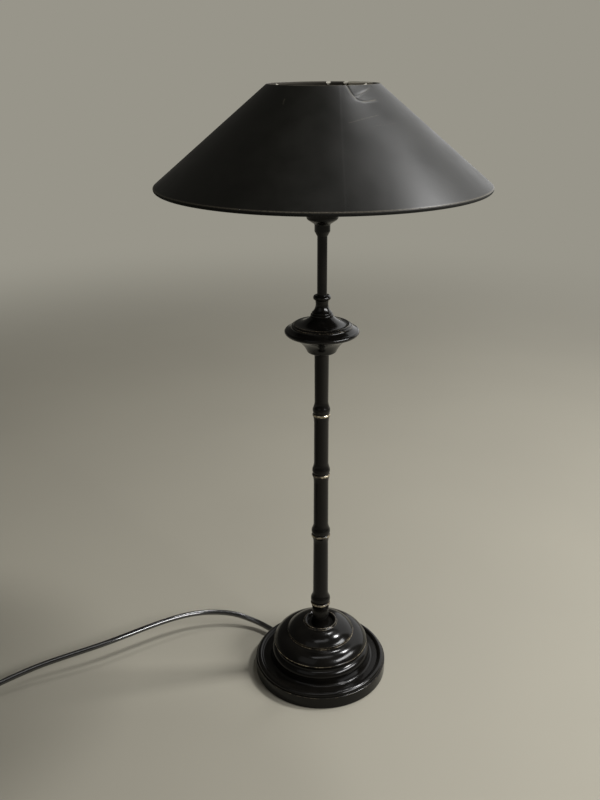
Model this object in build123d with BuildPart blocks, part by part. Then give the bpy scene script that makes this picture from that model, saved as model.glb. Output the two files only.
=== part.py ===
"""Table lamp: stepped round foot, faux-bamboo stem, saucer knop, bayonet
lampholder with push-bar switch, wire shade carrier and a conical card shade.
Millimetres, +Z up, origin on the floor under the stem's axis."""

import math
import os

from build123d import *

os.makedirs("parts", exist_ok=True)

# Clearances
running_gap = 0.05      # pin or bar in its guide
rest_gap = 0.3          # between a moving piece and its seat
bore_gap = 0.4          # loose pieces threaded on the rod

# Foot, from its wall inward
foot_r = 75.0
foot_lift = 0.6         # bottom edge of the foot above the floor
foot_wall_top = 14.0
foot_wall = 3.5
rim_w = 8.0             # from the wall to the inner edge of the rim bead
rim_rise = 2.9          # from the wall's top to that edge
rim_crown = 2.96        # height of the bead's arc over its chord
cove_w = 9.7
cove_dip = 1.83
seat_z = 24.2           # flat that carries the dome
seat_w = 10.6
foot_skin = 2.0
felt_t = 1.5
felt_inset = 4.0
plate_t = 1.5
plate_ledge = 1.7       # width of the foot's ledge over the plate

# Dome, from its lowest bead inward and upward
bead_inset = 1.2        # from the seat's edge to the bead
bead_h = 6.8
bead_crown = 2.05
neck_inset = 3.8        # from the bead in to the hollow's start
neck_rise = 0.4
neck_dip = 0.96
dome_edge_out = 1.8     # the lower tier's edge stands out over that start
lower_edge_h = 14.2     # from the seat up to the lower tier's edge
lower_w = 16.0
lower_h = 11.6
lower_crown = 2.74
step_h = 2.8            # plain step between the tiers
upper_h = 13.6
upper_crown = 1.9
well_r = 14.8           # well round the foot of the stem
well_lip_w = 4.0
well_depth = 3.6
dome_skin = 2.2

# Weight in the foot
weight_gap = 3.5        # to the foot's wall
weight_lift = 0.5       # over the plate
boss_gap = 2.6
nut_well_r = 16.0       # room round the rod's nut
nut_well_h = 13.0

# Rod and nut
rod_r = 4.9
rod_bore = 3.6
rod_joint_up = 10.6     # rod and upper tube meet this far up inside the neck
nut_flats = 17.0
nut_h = 4.0
nut_show = 0.6          # rod past the nut
washer_r = 11.0
washer_t = 1.5

# Stem: lengths of the five sections from the foot up, and radii
section_h = [30.7, 88.6, 74.2, 69.4, 63.5]
node_r = [10.95, 10.2, 9.5, 9.1]
cane_low_r = [9.3, 8.5, 8.05, 7.65, 7.1]
cane_high_r = [9.25, 8.15, 7.9, 7.65, 7.35]
groove_depth = 0.55
bulge_rise = 2.8        # from the groove up to the bulge's widest place
flare_h = 10.5          # length of the flare over a groove
flare_dip = 0.45
ring_drop = 3.2         # from the groove down to the ring's middle
ring_half = 1.6
ring_crown = 0.45
lip_h = 4.0
lip_w = 0.7

# Knop
bell_r = 14.4
bell_top_r = 26.0
bell_h = 16.6
bell_dip = 2.19
knop_r = 37.4
knop_low_h = 8.0        # from the bell to the saucer's edge
knop_skin = 1.3
ridge_inset = 8.8       # from the saucer's edge to its double ridge
ridge_h = 7.0
knop_high_h = 15.8      # from the saucer's edge to the neck
knop_dip = 1.32

# Neck and upper tube
neck_base_r = 11.5
waist_r = 6.2
waist_h = 12.8
sweep_dip = 0.75
neck_bead_r = 8.6
neck_bead_up = 6.3      # from the waist to the bead's middle
neck_bead_half = 2.6
tube_len = 75.1

# Lampholder
cap_grip = 6.9          # length of tube inside the cap
collar_r = 7.6
collar_foot_h = 4.4
collar_h = 5.8
cap_r = 15.35
cap_flare_h = 8.1
cap_h = 30.4
cap_wall = 1.25
block_h = 14.4
block_over = 2.0        # terminal block above the cap's rim
skirt_r = 14.0
skirt_bore = 11.3
flange_t = 3.5
skirt_h = 31.5
bar_w = 7.0
bar_h = 4.0
bar_drop = 6.0          # from the cap's rim down to the switch bar
bar_len = 42.0
bar_travel = 5.0
post_r = 2.2
post_y = 6.0
post_h = 4.0
plunger_x = 5.5
plunger_r = 2.5
plunger_travel = 3.0
plunger_h = 10.0
plunger_guide = 7.0     # height of the carrier that guides the plungers
spring_r = 1.95
spring_wire_r = 0.25
spring_turns = 4
slot_w = 2.6
slot_turn = 20.0        # turn from the slot's mouth to its notch, degrees

# Bulb (B22d cap, 45 mm ball)
contact_rise = 15.0     # from the terminal block to the bulb's contacts
bulb_cap_r = 11.0
bulb_cap_h = 25.0
bulb_cap_wall = 0.5
bulb_pin_up = 8.2
bulb_pin_r = 1.0
bulb_pin_reach = 13.4
bulb_r = 22.5
bulb_skin = 0.7
ball_lift = 4.9         # from the glass neck to where the ball starts
ball_start = -47.5      # where the ball starts, degrees from its equator
filament_r = 9.0

# Shade ring, carrier and shade
shade_ring_r = 19.0
shade_ring_h = 6.0
shade_ring_ribs = 18
carrier_plate_t = 1.5
carrier_plate_r = 18.4
carrier_r = 31.0
carrier_h = 90.9
wire_r = 1.2
arm_r = 1.0             # the carrier's three upright wires
card_t = 0.8
shade_low_r = 154.3     # wire circles in the folded edges of the card
shade_high_r = 49.3
shade_h = 86.65
fold_len = 5.0
fold_gap = 0.15         # between a wire and the card folded round it
fitter_ring_w = 4.5
fitter_ring_t = 1.5
fitter_rise = 6.55      # from the fitter's ring up to the shade's upper wire

# Mains cord, coil and plug
cord_r = 3.25
core_r = 2.0            # the cores, where the sheath is stripped
exit_angle = 135.5
exit_z = 8.3
gland_r = 4.5
gland_flange_r = 5.5
gland_flange_t = 1.2
clamp_inset = 7.0       # from the weight's rim to the cord clamp
clamp_w = 7.0
clamp_l = 24.0
clamp_screw_y = 9.0
clamp_screw_r = 1.5
clamp_head_r = 2.6
coil_mid_r = 38.5
coil_across = 3         # turns side by side in each of the two layers
coil_turns = 5
coil_x = -446.0
coil_top_y = -64.0
plug_w = 50.0
plug_l = 50.0
plug_t = 20.0
plug_nose_w = 18.0      # where the cord enters
plug_end_w = 26.0
plug_shoulder = 12.0    # from the cord's end to the widest stretch
plug_taper = 16.0
plug_face_x = -540.0
plug_y = -67.8
fuse_x = 24.0           # from the cord's end to the fuse carrier
fuse_l = 9.2
fuse_w = 27.2
fuse_h = 5.8
pin_x = 13.0            # from the cord's end to the live and neutral pins
pin_rows = 22.23
pin_half = 11.11
relief_l = 32.0
relief_r = 5.6

# Radii and heights that follow
foot_inner_r = foot_r - foot_wall
rim_in = foot_r - rim_w
cove_r = rim_in - 0.7
seat_r = cove_r - cove_w
seat_bore = seat_r - seat_w
plate_top = felt_t + plate_t
plate_r = foot_inner_r + plate_ledge
weight_r = foot_inner_r - weight_gap
weight_z = plate_top + weight_lift
dome_bead_r = seat_r - bead_inset
dome_neck_r = dome_bead_r - neck_inset
dome_edge_r = dome_neck_r + dome_edge_out
dome_edge_z = seat_z + lower_edge_h
crease_r = dome_edge_r - lower_w
crease_z = dome_edge_z + lower_h
lip_r = well_r + well_lip_w
lip_z = crease_z + upper_h
well_z = lip_z - well_depth
rod_room = rod_r + bore_gap
section_z = [well_z + sum(section_h[:i]) for i in range(len(section_h) + 1)]
stem_top_z = section_z[-1]
bell_top_z = stem_top_z + bell_h
knop_edge_z = bell_top_z + knop_low_h
ridge_r = knop_r - ridge_inset
ridge_z = knop_edge_z + ridge_h
knop_top_z = knop_edge_z + knop_high_h
rod_joint_z = knop_top_z + rod_joint_up
waist_z = knop_top_z + waist_h
neck_bead_z = waist_z + neck_bead_up
neck_top_z = neck_bead_z + neck_bead_half
tube_top_z = rod_joint_z + tube_len
socket_r = rod_r + running_gap
cap_foot_z = tube_top_z - cap_grip
collar_z = cap_foot_z + collar_foot_h
flare_z = collar_z + collar_h
cap_top_z = cap_foot_z + cap_h
bar_z = cap_top_z - bar_drop
block_top_z = cap_top_z + block_over
block_foot_z = block_top_z - block_h
flange_top_z = cap_top_z + flange_t
skirt_top_z = flange_top_z + skirt_h
contact_z = block_top_z + contact_rise
bulb_pin_z = contact_z + bulb_pin_up
glass_neck_z = contact_z + bulb_cap_h + 1.0
ball_z = glass_neck_z + ball_lift - bulb_r * math.sin(math.radians(ball_start))
carrier_z = flange_top_z + 0.1
carrier_top_z = carrier_z + carrier_plate_t + carrier_h
fitter_z = carrier_top_z + wire_r + rest_gap
shade_high_z = fitter_z + fitter_rise
shade_low_z = shade_high_z - shade_h
clamp_r = weight_r - clamp_inset


upright = (Align.CENTER, Align.CENTER, Align.MIN)


def write(builder, node):
    builder.part.label = node
    export_step(builder.part, f"parts/{node}.step")


def polar(radius, degrees, z):
    return (radius * math.cos(math.radians(degrees)), radius * math.sin(math.radians(degrees)), z)


def on_exit(radius, side, z, tilt=0):
    """A place on the cord exit's radial line; a tilt of 90 turns Z along that line, outward."""
    return Location((0, 0, 0), (0, 0, exit_angle)) * Location((radius, side, z), (0, tilt, 0))


# ---------------------------------------------------------------- foot and dome
with BuildPart() as felt_pad:
    Cylinder(foot_r - felt_inset, felt_t, align=upright)
write(felt_pad, "felt_pad")

screw_pcd_r = 34.0
screw_r = 2.0
screw_head_r = 3.9
screw_len = 8.0

with BuildPart() as base_plate:
    with BuildSketch(Plane.XY.offset(felt_t)):
        Circle(plate_r)
    extrude(amount=plate_t)
    with PolarLocations(screw_pcd_r, 3, start_angle=30):
        with Locations(Location((0, 0, felt_t), (180, 0, 0))):
            CounterSinkHole(screw_r + running_gap, screw_head_r, depth=plate_t, counter_sink_angle=90)
write(base_plate, "base_plate")

with BuildPart() as one_screw:
    with BuildSketch(Plane.XZ):
        with BuildLine():
            Polyline((0, felt_t), (screw_head_r - running_gap, felt_t),
                     (screw_r, felt_t + screw_head_r - screw_r - running_gap),
                     (screw_r, felt_t + screw_len), (0, felt_t + screw_len), close=True)
        make_face()
    revolve(axis=Axis.Z)
with BuildPart() as plate_screws:
    with PolarLocations(screw_pcd_r, 3, start_angle=30, rotate=False):
        add(one_screw.part)
write(plate_screws, "plate_screws")

wall_top = (foot_r - 1.6, foot_wall_top + 0.4)
bead_end = (rim_in, foot_wall_top + rim_rise)
cove_foot = (cove_r, bead_end[1] - 0.4)
cove_top = (seat_r, seat_z - 0.8)
with BuildPart() as base_foot:
    with BuildSketch(Plane.XZ):
        with BuildLine():
            Polyline((foot_r - 0.4, foot_lift), (foot_r, foot_lift + 0.4), (foot_r, foot_wall_top),
                     (foot_r - 0.7, foot_wall_top + 0.6), wall_top)
            SagittaArc(wall_top, bead_end, -rim_crown)
            Line(bead_end, cove_foot)
            SagittaArc(cove_foot, cove_top, cove_dip)
            inner_cove_top = (seat_r - foot_skin, seat_z - foot_skin)
            inner_cove_foot = (cove_r - 0.8, cove_foot[1] - foot_skin - 0.6)
            Polyline(cove_top, (seat_r, seat_z), (seat_bore, seat_z), (seat_bore, seat_z - foot_skin),
                     inner_cove_top)
            SagittaArc(inner_cove_top, inner_cove_foot, -cove_dip)
            Polyline(inner_cove_foot, (foot_inner_r, foot_wall_top - foot_skin), (foot_inner_r, plate_top),
                     (plate_r + 0.2, plate_top), (plate_r + 0.2, foot_lift), (foot_r - 0.4, foot_lift))
        make_face()
    revolve(axis=Axis.Z)
    with Locations(on_exit(foot_r - foot_wall / 2, 0, exit_z, 90)):
        Cylinder(gland_r + running_gap, 2 * foot_wall, mode=Mode.SUBTRACT)
write(base_foot, "base_foot")

bead_foot = (dome_bead_r - 1.2, seat_z)
bead_top = (dome_neck_r + 0.8, seat_z + bead_h)
neck_start = (dome_neck_r, bead_top[1] + neck_rise)
edge_under = (dome_edge_r - 0.4, dome_edge_z - 0.8)
edge = (dome_edge_r, dome_edge_z)
lower_top = (crease_r + 0.5, crease_z - 0.2)
upper_foot = (crease_r - 0.7, crease_z + step_h)
lip_foot = (lip_r + 0.4, lip_z - 1.6)
with BuildPart() as base_dome:
    with BuildSketch(Plane.XZ):
        with BuildLine():
            Line((seat_bore, seat_z), bead_foot)
            SagittaArc(bead_foot, bead_top, -bead_crown)
            Line(bead_top, neck_start)
            SagittaArc(neck_start, edge_under, neck_dip)
            Line(edge_under, edge)
            SagittaArc(edge, lower_top, -lower_crown)
            Polyline(lower_top, (crease_r, crease_z), (crease_r, crease_z + 1.6), upper_foot)
            SagittaArc(upper_foot, lip_foot, -upper_crown)
            Line(lip_foot, (lip_r, lip_z - 1.2))
            SagittaArc((lip_r, lip_z - 1.2), (lip_r - 2.9, lip_z - 0.8), -1.01)
            inner_edge = (dome_edge_r - dome_skin - 0.6, dome_edge_z)
            inner_lower_top = (crease_r - 0.8, crease_z - dome_skin)
            inner_upper_foot = (crease_r - 3.0, crease_z + 0.6)
            inner_lip = (lip_r - 1.8, well_z - dome_skin)
            Polyline((lip_r - 2.9, lip_z - 0.8), (well_r, well_z + 0.6), (well_r, well_z),
                     (rod_room, well_z), (rod_room, well_z - dome_skin), inner_lip)
            SagittaArc(inner_lip, inner_upper_foot, upper_crown)
            Line(inner_upper_foot, inner_lower_top)
            SagittaArc(inner_lower_top, inner_edge, lower_crown)
            Polyline(inner_edge, (neck_start[0] - 2.7, neck_start[1] + 3.4),
                     (neck_start[0] - 2.3, neck_start[1]), (dome_bead_r - 3.2, seat_z + foot_skin + 0.4),
                     (seat_bore, seat_z + foot_skin + 0.4), (seat_bore, seat_z))
        make_face()
    revolve(axis=Axis.Z)
write(base_dome, "base_dome")

clamp_t = exit_z - cord_r - weight_z
shoulder_z = foot_wall_top - foot_skin - bore_gap
boss_r = seat_r - foot_skin - boss_gap
nut_well_z = weight_z + nut_well_h
groove_w = 2 * cord_r + 2.5
groove_top_z = exit_z + groove_w / 2
with BuildPart() as base_weight:
    with BuildSketch(Plane.XZ):
        with BuildLine():
            Polyline((nut_well_r, weight_z), (weight_r - 1, weight_z), (weight_r, weight_z + 1),
                     (weight_r, shoulder_z), (boss_r + 2, shoulder_z), (boss_r, shoulder_z + 2),
                     (boss_r, seat_z - foot_skin), (rod_room, seat_z - foot_skin), (rod_room, nut_well_z),
                     (nut_well_r, nut_well_z), close=True)
        make_face()
    revolve(axis=Axis.Z)
    with Locations(on_exit(nut_well_r - 2, 0, weight_z - 1)):
        Box(weight_r, groove_w, groove_top_z - weight_z + 1, align=(Align.MIN, Align.CENTER, Align.MIN),
            mode=Mode.SUBTRACT)
    with Locations(on_exit(clamp_r, 0, weight_z)):
        Box(clamp_w + bore_gap, clamp_l + bore_gap, 2 * clamp_t, mode=Mode.SUBTRACT)
    with PolarLocations(screw_pcd_r, 3, start_angle=30):
        with Locations(Location((0, 0, weight_z), (180, 0, 0))):
            Hole(screw_r + running_gap, depth=screw_len)
    with Locations(on_exit(clamp_r, -clamp_screw_y, weight_z), on_exit(clamp_r, clamp_screw_y, weight_z)):
        Cylinder(clamp_screw_r + running_gap, 4 * weight_r, mode=Mode.SUBTRACT)
write(base_weight, "base_weight")

with BuildPart() as cord_clamp:
    with Locations(on_exit(clamp_r, 0, weight_z + clamp_t / 2)):
        Box(clamp_w, clamp_l, clamp_t)
    fillet(cord_clamp.edges().filter_by(Axis.Z), 1.5)
    with Locations(on_exit(clamp_r, -clamp_screw_y, weight_z), on_exit(clamp_r, clamp_screw_y, weight_z)):
        Cylinder(clamp_screw_r + running_gap, 10, mode=Mode.SUBTRACT)
write(cord_clamp, "cord_clamp")

screw_foot_z = plate_top + 0.1
with BuildPart() as clamp_screws:
    for side in (-clamp_screw_y, clamp_screw_y):
        with Locations(on_exit(clamp_r, side, screw_foot_z)):
            Cylinder(clamp_head_r, weight_z - screw_foot_z, align=upright)
            Cylinder(clamp_screw_r, 8.5, align=upright)
write(clamp_screws, "clamp_screws")

washer_z = nut_well_z - washer_t
with BuildPart() as rod_washer:
    with BuildSketch(Plane.XY.offset(washer_z)):
        Circle(washer_r)
        Circle(socket_r, mode=Mode.SUBTRACT)
    extrude(amount=washer_t)
write(rod_washer, "rod_washer")

with BuildPart() as rod_nut:
    with BuildSketch(Plane.XY.offset(washer_z - nut_h)):
        RegularPolygon(nut_flats / 2, 6, major_radius=False)
        Circle(socket_r, mode=Mode.SUBTRACT)
    extrude(amount=nut_h)
write(rod_nut, "rod_nut")

rod_foot_z = washer_z - nut_h - nut_show
with BuildPart() as tie_rod:
    with BuildSketch(Plane.XY.offset(rod_foot_z)):
        Circle(rod_r)
        Circle(rod_bore, mode=Mode.SUBTRACT)
    extrude(amount=rod_joint_z - rod_foot_z)
write(tie_rod, "tie_rod")

with BuildPart() as cord_gland:
    with Locations(on_exit(foot_r, 0, exit_z, 90)):
        Cylinder(gland_r, foot_wall + 1.0, align=(Align.CENTER, Align.CENTER, Align.MAX))
        Cylinder(gland_flange_r, gland_flange_t, align=upright)
        Cylinder(cord_r + running_gap, 4 * foot_wall, mode=Mode.SUBTRACT)
    outward_axis = Axis((0, 0, 0), polar(1, exit_angle, 0))
    fillet(cord_gland.faces().sort_by(outward_axis)[-1].edges().sort_by(SortBy.RADIUS)[-1], 0.5)
write(cord_gland, "cord_gland")

# ---------------------------------------------------------------- stem
def stem_section(low_z, high_z, low_node, high_node, low_r, high_r):
    """Profile of one turned section: bulge over the lower groove, cane, ring under the upper groove."""
    cane_foot = (low_r, low_z)
    cane_head = (high_r, high_z - lip_h)
    if low_node:
        bulge_foot = (low_node - groove_depth, low_z)
        bulge_top = (low_node - groove_depth, low_z + 2 * bulge_rise)
        cane_foot = (low_r, low_z + flare_h)
        SagittaArc(bulge_foot, bulge_top, -groove_depth)
        SagittaArc(bulge_top, cane_foot, flare_dip)
        Line((rod_room, low_z), bulge_foot)
    else:
        Line((rod_room, low_z), cane_foot)
    if high_node:
        ring_z = high_z - ring_drop
        ring_foot = (high_node - 0.5, ring_z - ring_half)
        ring_top = (high_node - 0.5, ring_z + ring_half)
        cane_head = (high_r, high_z - flare_h)
        SagittaArc(cane_head, ring_foot, flare_dip)
        SagittaArc(ring_foot, ring_top, -ring_crown)
        Polyline(ring_top, (high_node - groove_depth - 0.25, high_z - 0.8),
                 (high_node - groove_depth, high_z), (rod_room, high_z), (rod_room, low_z))
    else:
        SagittaArc(cane_head, (high_r + lip_w, high_z), 0.27)
        Polyline((high_r + lip_w, high_z), (rod_room, high_z), (rod_room, low_z))
    Line(cane_foot, cane_head)


section_nodes = [None] + node_r + [None]
section_names = ["stem_stub", "bamboo_4", "bamboo_3", "bamboo_2", "bamboo_1"]
for i, section_name in enumerate(section_names):
    with BuildPart() as section:
        with BuildSketch(Plane.XZ):
            with BuildLine():
                stem_section(section_z[i], section_z[i + 1], section_nodes[i], section_nodes[i + 1],
                             cane_low_r[i], cane_high_r[i])
            make_face()
        revolve(axis=Axis.Z)
    write(section, section_name)

# ---------------------------------------------------------------- knop and neck
with BuildPart() as knop_bell:
    with BuildSketch(Plane.XZ):
        with BuildLine():
            Line((rod_room, stem_top_z), (bell_r - 2.6, stem_top_z))
            SagittaArc((bell_r - 2.6, stem_top_z), (bell_r, stem_top_z + 2.8), -0.78)
            SagittaArc((bell_r, stem_top_z + 2.8), (bell_top_r, bell_top_z), bell_dip)
            Polyline((bell_top_r, bell_top_z), (rod_room, bell_top_z), (rod_room, stem_top_z))
        make_face()
    revolve(axis=Axis.Z)
write(knop_bell, "knop_bell")

saucer_edge = (knop_r, knop_edge_z)
saucer_inner = (knop_r - knop_skin, knop_edge_z)
saucer_under = (knop_r - 2.4, knop_edge_z - 2.8)
with BuildPart() as knop_lower:
    with BuildSketch(Plane.XZ):
        with BuildLine():
            Polyline((rod_room, bell_top_z), (bell_top_r, bell_top_z), saucer_under)
            SagittaArc(saucer_under, saucer_edge, -0.6)
            Polyline(saucer_edge, saucer_inner, (saucer_inner[0] - 1.6, saucer_under[1] + knop_skin + 0.1),
                     (bell_top_r - 0.4, bell_top_z + knop_skin), (rod_room, bell_top_z + knop_skin),
                     (rod_room, bell_top_z))
        make_face()
    revolve(axis=Axis.Z)
write(knop_lower, "knop_lower")

ridge = (ridge_r, ridge_z)
ridge_out = (ridge_r + 2.0, ridge_z - 1.4)
ridge_in = (ridge_r - 2.4, ridge_z + 1.3)
shoulder = (ridge_r + 3.0, ridge_z - 1.5)
crown = (neck_base_r, knop_top_z)
with BuildPart() as knop_upper:
    with BuildSketch(Plane.XZ):
        with BuildLine():
            SagittaArc(saucer_edge, shoulder, -1.13)
            Line(shoulder, ridge_out)
            SagittaArc(ridge_out, ridge, -0.67)
            SagittaArc(ridge, ridge_in, -0.81)
            SagittaArc(ridge_in, crown, knop_dip)
            inner_crown = (neck_base_r - 0.6, knop_top_z - knop_skin)
            inner_ridge = (ridge_in[0], ridge_in[1] - knop_skin - 0.5)
            Polyline(crown, (rod_room, knop_top_z), (rod_room, knop_top_z - knop_skin), inner_crown)
            SagittaArc(inner_crown, inner_ridge, -knop_dip)
            Polyline(inner_ridge, (ridge_out[0] - 0.4, ridge_out[1] - knop_skin),
                     (saucer_inner[0] - 1.6, knop_edge_z + knop_skin + 0.5), saucer_inner, saucer_edge)
        make_face()
    revolve(axis=Axis.Z)
write(knop_upper, "knop_upper")

with BuildPart() as neck_vase:
    with BuildSketch(Plane.XZ):
        with BuildLine():
            base_foot_edge = (neck_base_r - 0.5, knop_top_z)
            base_top_edge = (neck_base_r - 0.7, knop_top_z + 2.6)
            fillet_foot = (neck_base_r - 1.5, knop_top_z + 2.9)
            sweep_foot = (neck_base_r - 2.2, knop_top_z + 4.8)
            collar_edge = (waist_r + 0.4, neck_bead_z - neck_bead_half)
            mouth = (waist_r + 0.3, neck_top_z)
            Line((socket_r, knop_top_z), base_foot_edge)
            SagittaArc(base_foot_edge, base_top_edge, -0.6)
            Line(base_top_edge, fillet_foot)
            SagittaArc(fillet_foot, sweep_foot, -0.52)
            SagittaArc(sweep_foot, (waist_r, waist_z), sweep_dip)
            Line((waist_r, waist_z), collar_edge)
            ThreePointArc(collar_edge, (neck_bead_r, neck_bead_z), mouth)
            Polyline(mouth, (socket_r, neck_top_z), (socket_r, knop_top_z))
        make_face()
    revolve(axis=Axis.Z)
write(neck_vase, "neck_vase")

with BuildPart() as upper_tube:
    with BuildSketch(Plane.XY.offset(rod_joint_z)):
        Circle(rod_r)
        Circle(rod_bore, mode=Mode.SUBTRACT)
    extrude(amount=tube_len)
write(upper_tube, "upper_tube")

# ---------------------------------------------------------------- lampholder
inner_cap_r = cap_r - cap_wall
inner_collar_r = collar_r - cap_wall + running_gap
with BuildPart() as holder_cap:
    with BuildSketch(Plane.XZ):
        with BuildLine():
            flare_foot = (collar_r + 2.2, flare_z + 2.3)
            flare_top = (cap_r - 2.15, flare_z + 4.6)
            Polyline((socket_r, cap_foot_z), (socket_r + 0.3, cap_foot_z), (collar_r, collar_z),
                     (collar_r, flare_z))
            SagittaArc((collar_r, flare_z), flare_foot, 0.4)
            Line(flare_foot, flare_top)
            SagittaArc(flare_top, (cap_r, flare_z + cap_flare_h), -0.63)
            Polyline((cap_r, flare_z + cap_flare_h), (cap_r, cap_top_z), (inner_cap_r, cap_top_z),
                     (inner_cap_r, flare_z + cap_flare_h + 0.3), (flare_foot[0] - 0.8, flare_foot[1] + 1.1),
                     (inner_collar_r, flare_z + 1.6), (inner_collar_r, tube_top_z + rest_gap),
                     (socket_r, tube_top_z + rest_gap), (socket_r, cap_foot_z))
        make_face()
    revolve(axis=Axis.Z)
    with Locations((0, 0, bar_z)):
        Box(3 * cap_r, bar_w + 2 * rest_gap, bar_h + 2 * rest_gap, mode=Mode.SUBTRACT)
write(holder_cap, "holder_cap")

block_r = inner_cap_r - running_gap
block_seat_z = block_foot_z + 0.8
with BuildPart() as terminal_block:
    with BuildSketch(Plane.XY.offset(block_seat_z)):
        Circle(block_r - 0.1)
    extrude(amount=block_top_z - block_seat_z)
    with Locations((0, 0, bar_z)):
        Box(3 * cap_r, bar_w + 2 * running_gap, bar_h + 2 * running_gap, mode=Mode.SUBTRACT)
write(terminal_block, "terminal_block")

with BuildPart() as terminal_posts:
    with Locations((0, post_y, block_seat_z), (0, -post_y, block_seat_z)):
        Cylinder(post_r, post_h, align=(Align.CENTER, Align.CENTER, Align.MAX))
    with Locations((0, post_y, block_seat_z - post_h / 2), (0, -post_y, block_seat_z - post_h / 2)):
        Cylinder(0.4 * post_r, 3 * post_r, rotation=(0, 90, 0), mode=Mode.SUBTRACT)
write(terminal_posts, "terminal_posts")

with BuildPart() as push_bar:
    with Locations((-bar_travel / 2, 0, bar_z)):
        Box(bar_len, bar_w, bar_h)
    fillet(push_bar.edges().filter_by(Axis.Y), 1.6)
write(push_bar, "push_bar")

with BuildPart() as holder_skirt:
    with BuildSketch(Plane.XZ):
        with BuildLine():
            Polyline((block_r, cap_top_z), (cap_r, cap_top_z), (cap_r, flange_top_z),
                     (skirt_r, flange_top_z), (skirt_r, skirt_top_z - 0.8),
                     (skirt_r - 0.8, skirt_top_z), (skirt_bore, skirt_top_z),
                     (skirt_bore, block_top_z), (block_r, block_top_z), close=True)
        make_face()
    revolve(axis=Axis.Z)
    slot_low_z = bulb_pin_z - plunger_travel - bulb_pin_r - 0.4
    slot_high_z = slot_low_z + slot_w + 0.4
    notch_top_z = bulb_pin_z + bulb_pin_r + rest_gap
    for side in (0, 180):
        with Locations(Location((0, 0, slot_low_z), (0, 0, side + 90 - slot_turn))):
            with Locations((skirt_r, 0, 0)):
                Box(8, slot_w, skirt_h, align=upright, mode=Mode.SUBTRACT)
        with Locations(Location((0, 0, slot_low_z), (0, 0, side + 90))):
            with Locations((skirt_r, 0, 0)):
                Box(8, slot_w, notch_top_z - slot_low_z, align=upright, mode=Mode.SUBTRACT)
        with BuildSketch(Plane.XY.offset(slot_low_z)):
            with BuildLine():
                Polyline((0, 0), polar(2 * skirt_r, side + 90 - slot_turn, 0)[:2],
                         polar(2 * skirt_r, side + 90, 0)[:2], close=True)
            make_face()
            Circle(skirt_bore - 1, mode=Mode.SUBTRACT)
        extrude(amount=slot_high_z - slot_low_z, mode=Mode.SUBTRACT)
write(holder_skirt, "holder_skirt")

with BuildPart() as plunger_carrier:
    with BuildSketch(Plane.XY.offset(block_top_z)):
        Circle(skirt_bore - running_gap)
        with Locations((plunger_x, 0), (-plunger_x, 0)):
            Circle(plunger_r + running_gap, mode=Mode.SUBTRACT)
    extrude(amount=plunger_guide)
write(plunger_carrier, "plunger_carrier")

plunger_foot_z = contact_z - running_gap - plunger_h
with BuildPart() as contact_plungers:
    with Locations((plunger_x, 0, plunger_foot_z), (-plunger_x, 0, plunger_foot_z)):
        Cylinder(plunger_r, plunger_h, align=upright)
    fillet(contact_plungers.faces().group_by(Axis.Z)[-1].edges(), 0.8)
write(contact_plungers, "contact_plungers")

spring_h = plunger_foot_z - block_top_z - 2 * running_gap - 2 * spring_wire_r
with BuildPart() as one_spring:
    with BuildLine():
        coil_line = Helix(pitch=spring_h / spring_turns, height=spring_h, radius=spring_r,
                          center=(0, 0, block_top_z + running_gap + spring_wire_r))
    with BuildSketch(Plane(origin=coil_line @ 0, z_dir=coil_line % 0)):
        RegularPolygon(spring_wire_r, 6)
    sweep(path=coil_line, is_frenet=True)
with BuildPart() as plunger_springs:
    with Locations((plunger_x, 0, 0), (-plunger_x, 0, 0)):
        add(one_spring.part)
write(plunger_springs, "plunger_springs")

# ---------------------------------------------------------------- bulb
with BuildPart() as bulb_cap:
    with BuildSketch(Plane.XZ):
        with BuildLine():
            Polyline((bulb_cap_r - 0.8, contact_z + 1.0), (bulb_cap_r, contact_z + 1.8),
                     (bulb_cap_r, contact_z + bulb_cap_h),
                     (bulb_cap_r - bulb_cap_wall, contact_z + bulb_cap_h),
                     (bulb_cap_r - bulb_cap_wall, contact_z + 2.0),
                     (bulb_cap_r - bulb_cap_wall - 0.3, contact_z + 1.0), close=True)
        make_face()
    revolve(axis=Axis.Z)
write(bulb_cap, "bulb_cap")

with BuildPart() as bulb_pins:
    for side in (-1, 1):
        with Locations(Location((0, side * bulb_cap_r, bulb_pin_z), (-90 * side, 0, 0))):
            Cylinder(bulb_pin_r, bulb_pin_reach - bulb_cap_r, align=upright)
write(bulb_pins, "bulb_pins")

insulator_r = bulb_cap_r - bulb_cap_wall - 0.35
with BuildPart() as bulb_insulator:
    with BuildSketch(Plane.XY.offset(contact_z + 0.6)):
        Circle(insulator_r)
    extrude(amount=3.4)
write(bulb_insulator, "bulb_insulator")

with BuildPart() as bulb_contacts:
    with Locations((plunger_x, 0, contact_z), (-plunger_x, 0, contact_z)):
        Cylinder(2.3, 0.6, align=upright)
write(bulb_contacts, "bulb_contacts")

glass_neck_r = bulb_cap_r - bulb_cap_wall - 0.15
glass_inner_r = glass_neck_r - bulb_skin
glass_foot_z = glass_neck_z - 8.0
with BuildPart() as bulb_glass:
    with BuildSketch(Plane.XZ):
        with BuildLine():
            Line((glass_neck_r, glass_foot_z), (glass_neck_r, glass_neck_z))
            outer_ball = CenterArc((0, ball_z), bulb_r, ball_start, 90 - ball_start)
            inner_ball = CenterArc((0, ball_z), bulb_r - bulb_skin, ball_start, 90 - ball_start)
            SagittaArc((glass_neck_r, glass_neck_z), outer_ball @ 0, 1.1)
            Line(outer_ball @ 1, inner_ball @ 1)
            SagittaArc(inner_ball @ 0, (glass_inner_r, glass_neck_z), -1.28)
            Polyline((glass_inner_r, glass_neck_z), (glass_inner_r, glass_foot_z),
                     (glass_neck_r, glass_foot_z))
        make_face()
    revolve(axis=Axis.Z)
write(bulb_glass, "bulb_glass")

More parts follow.
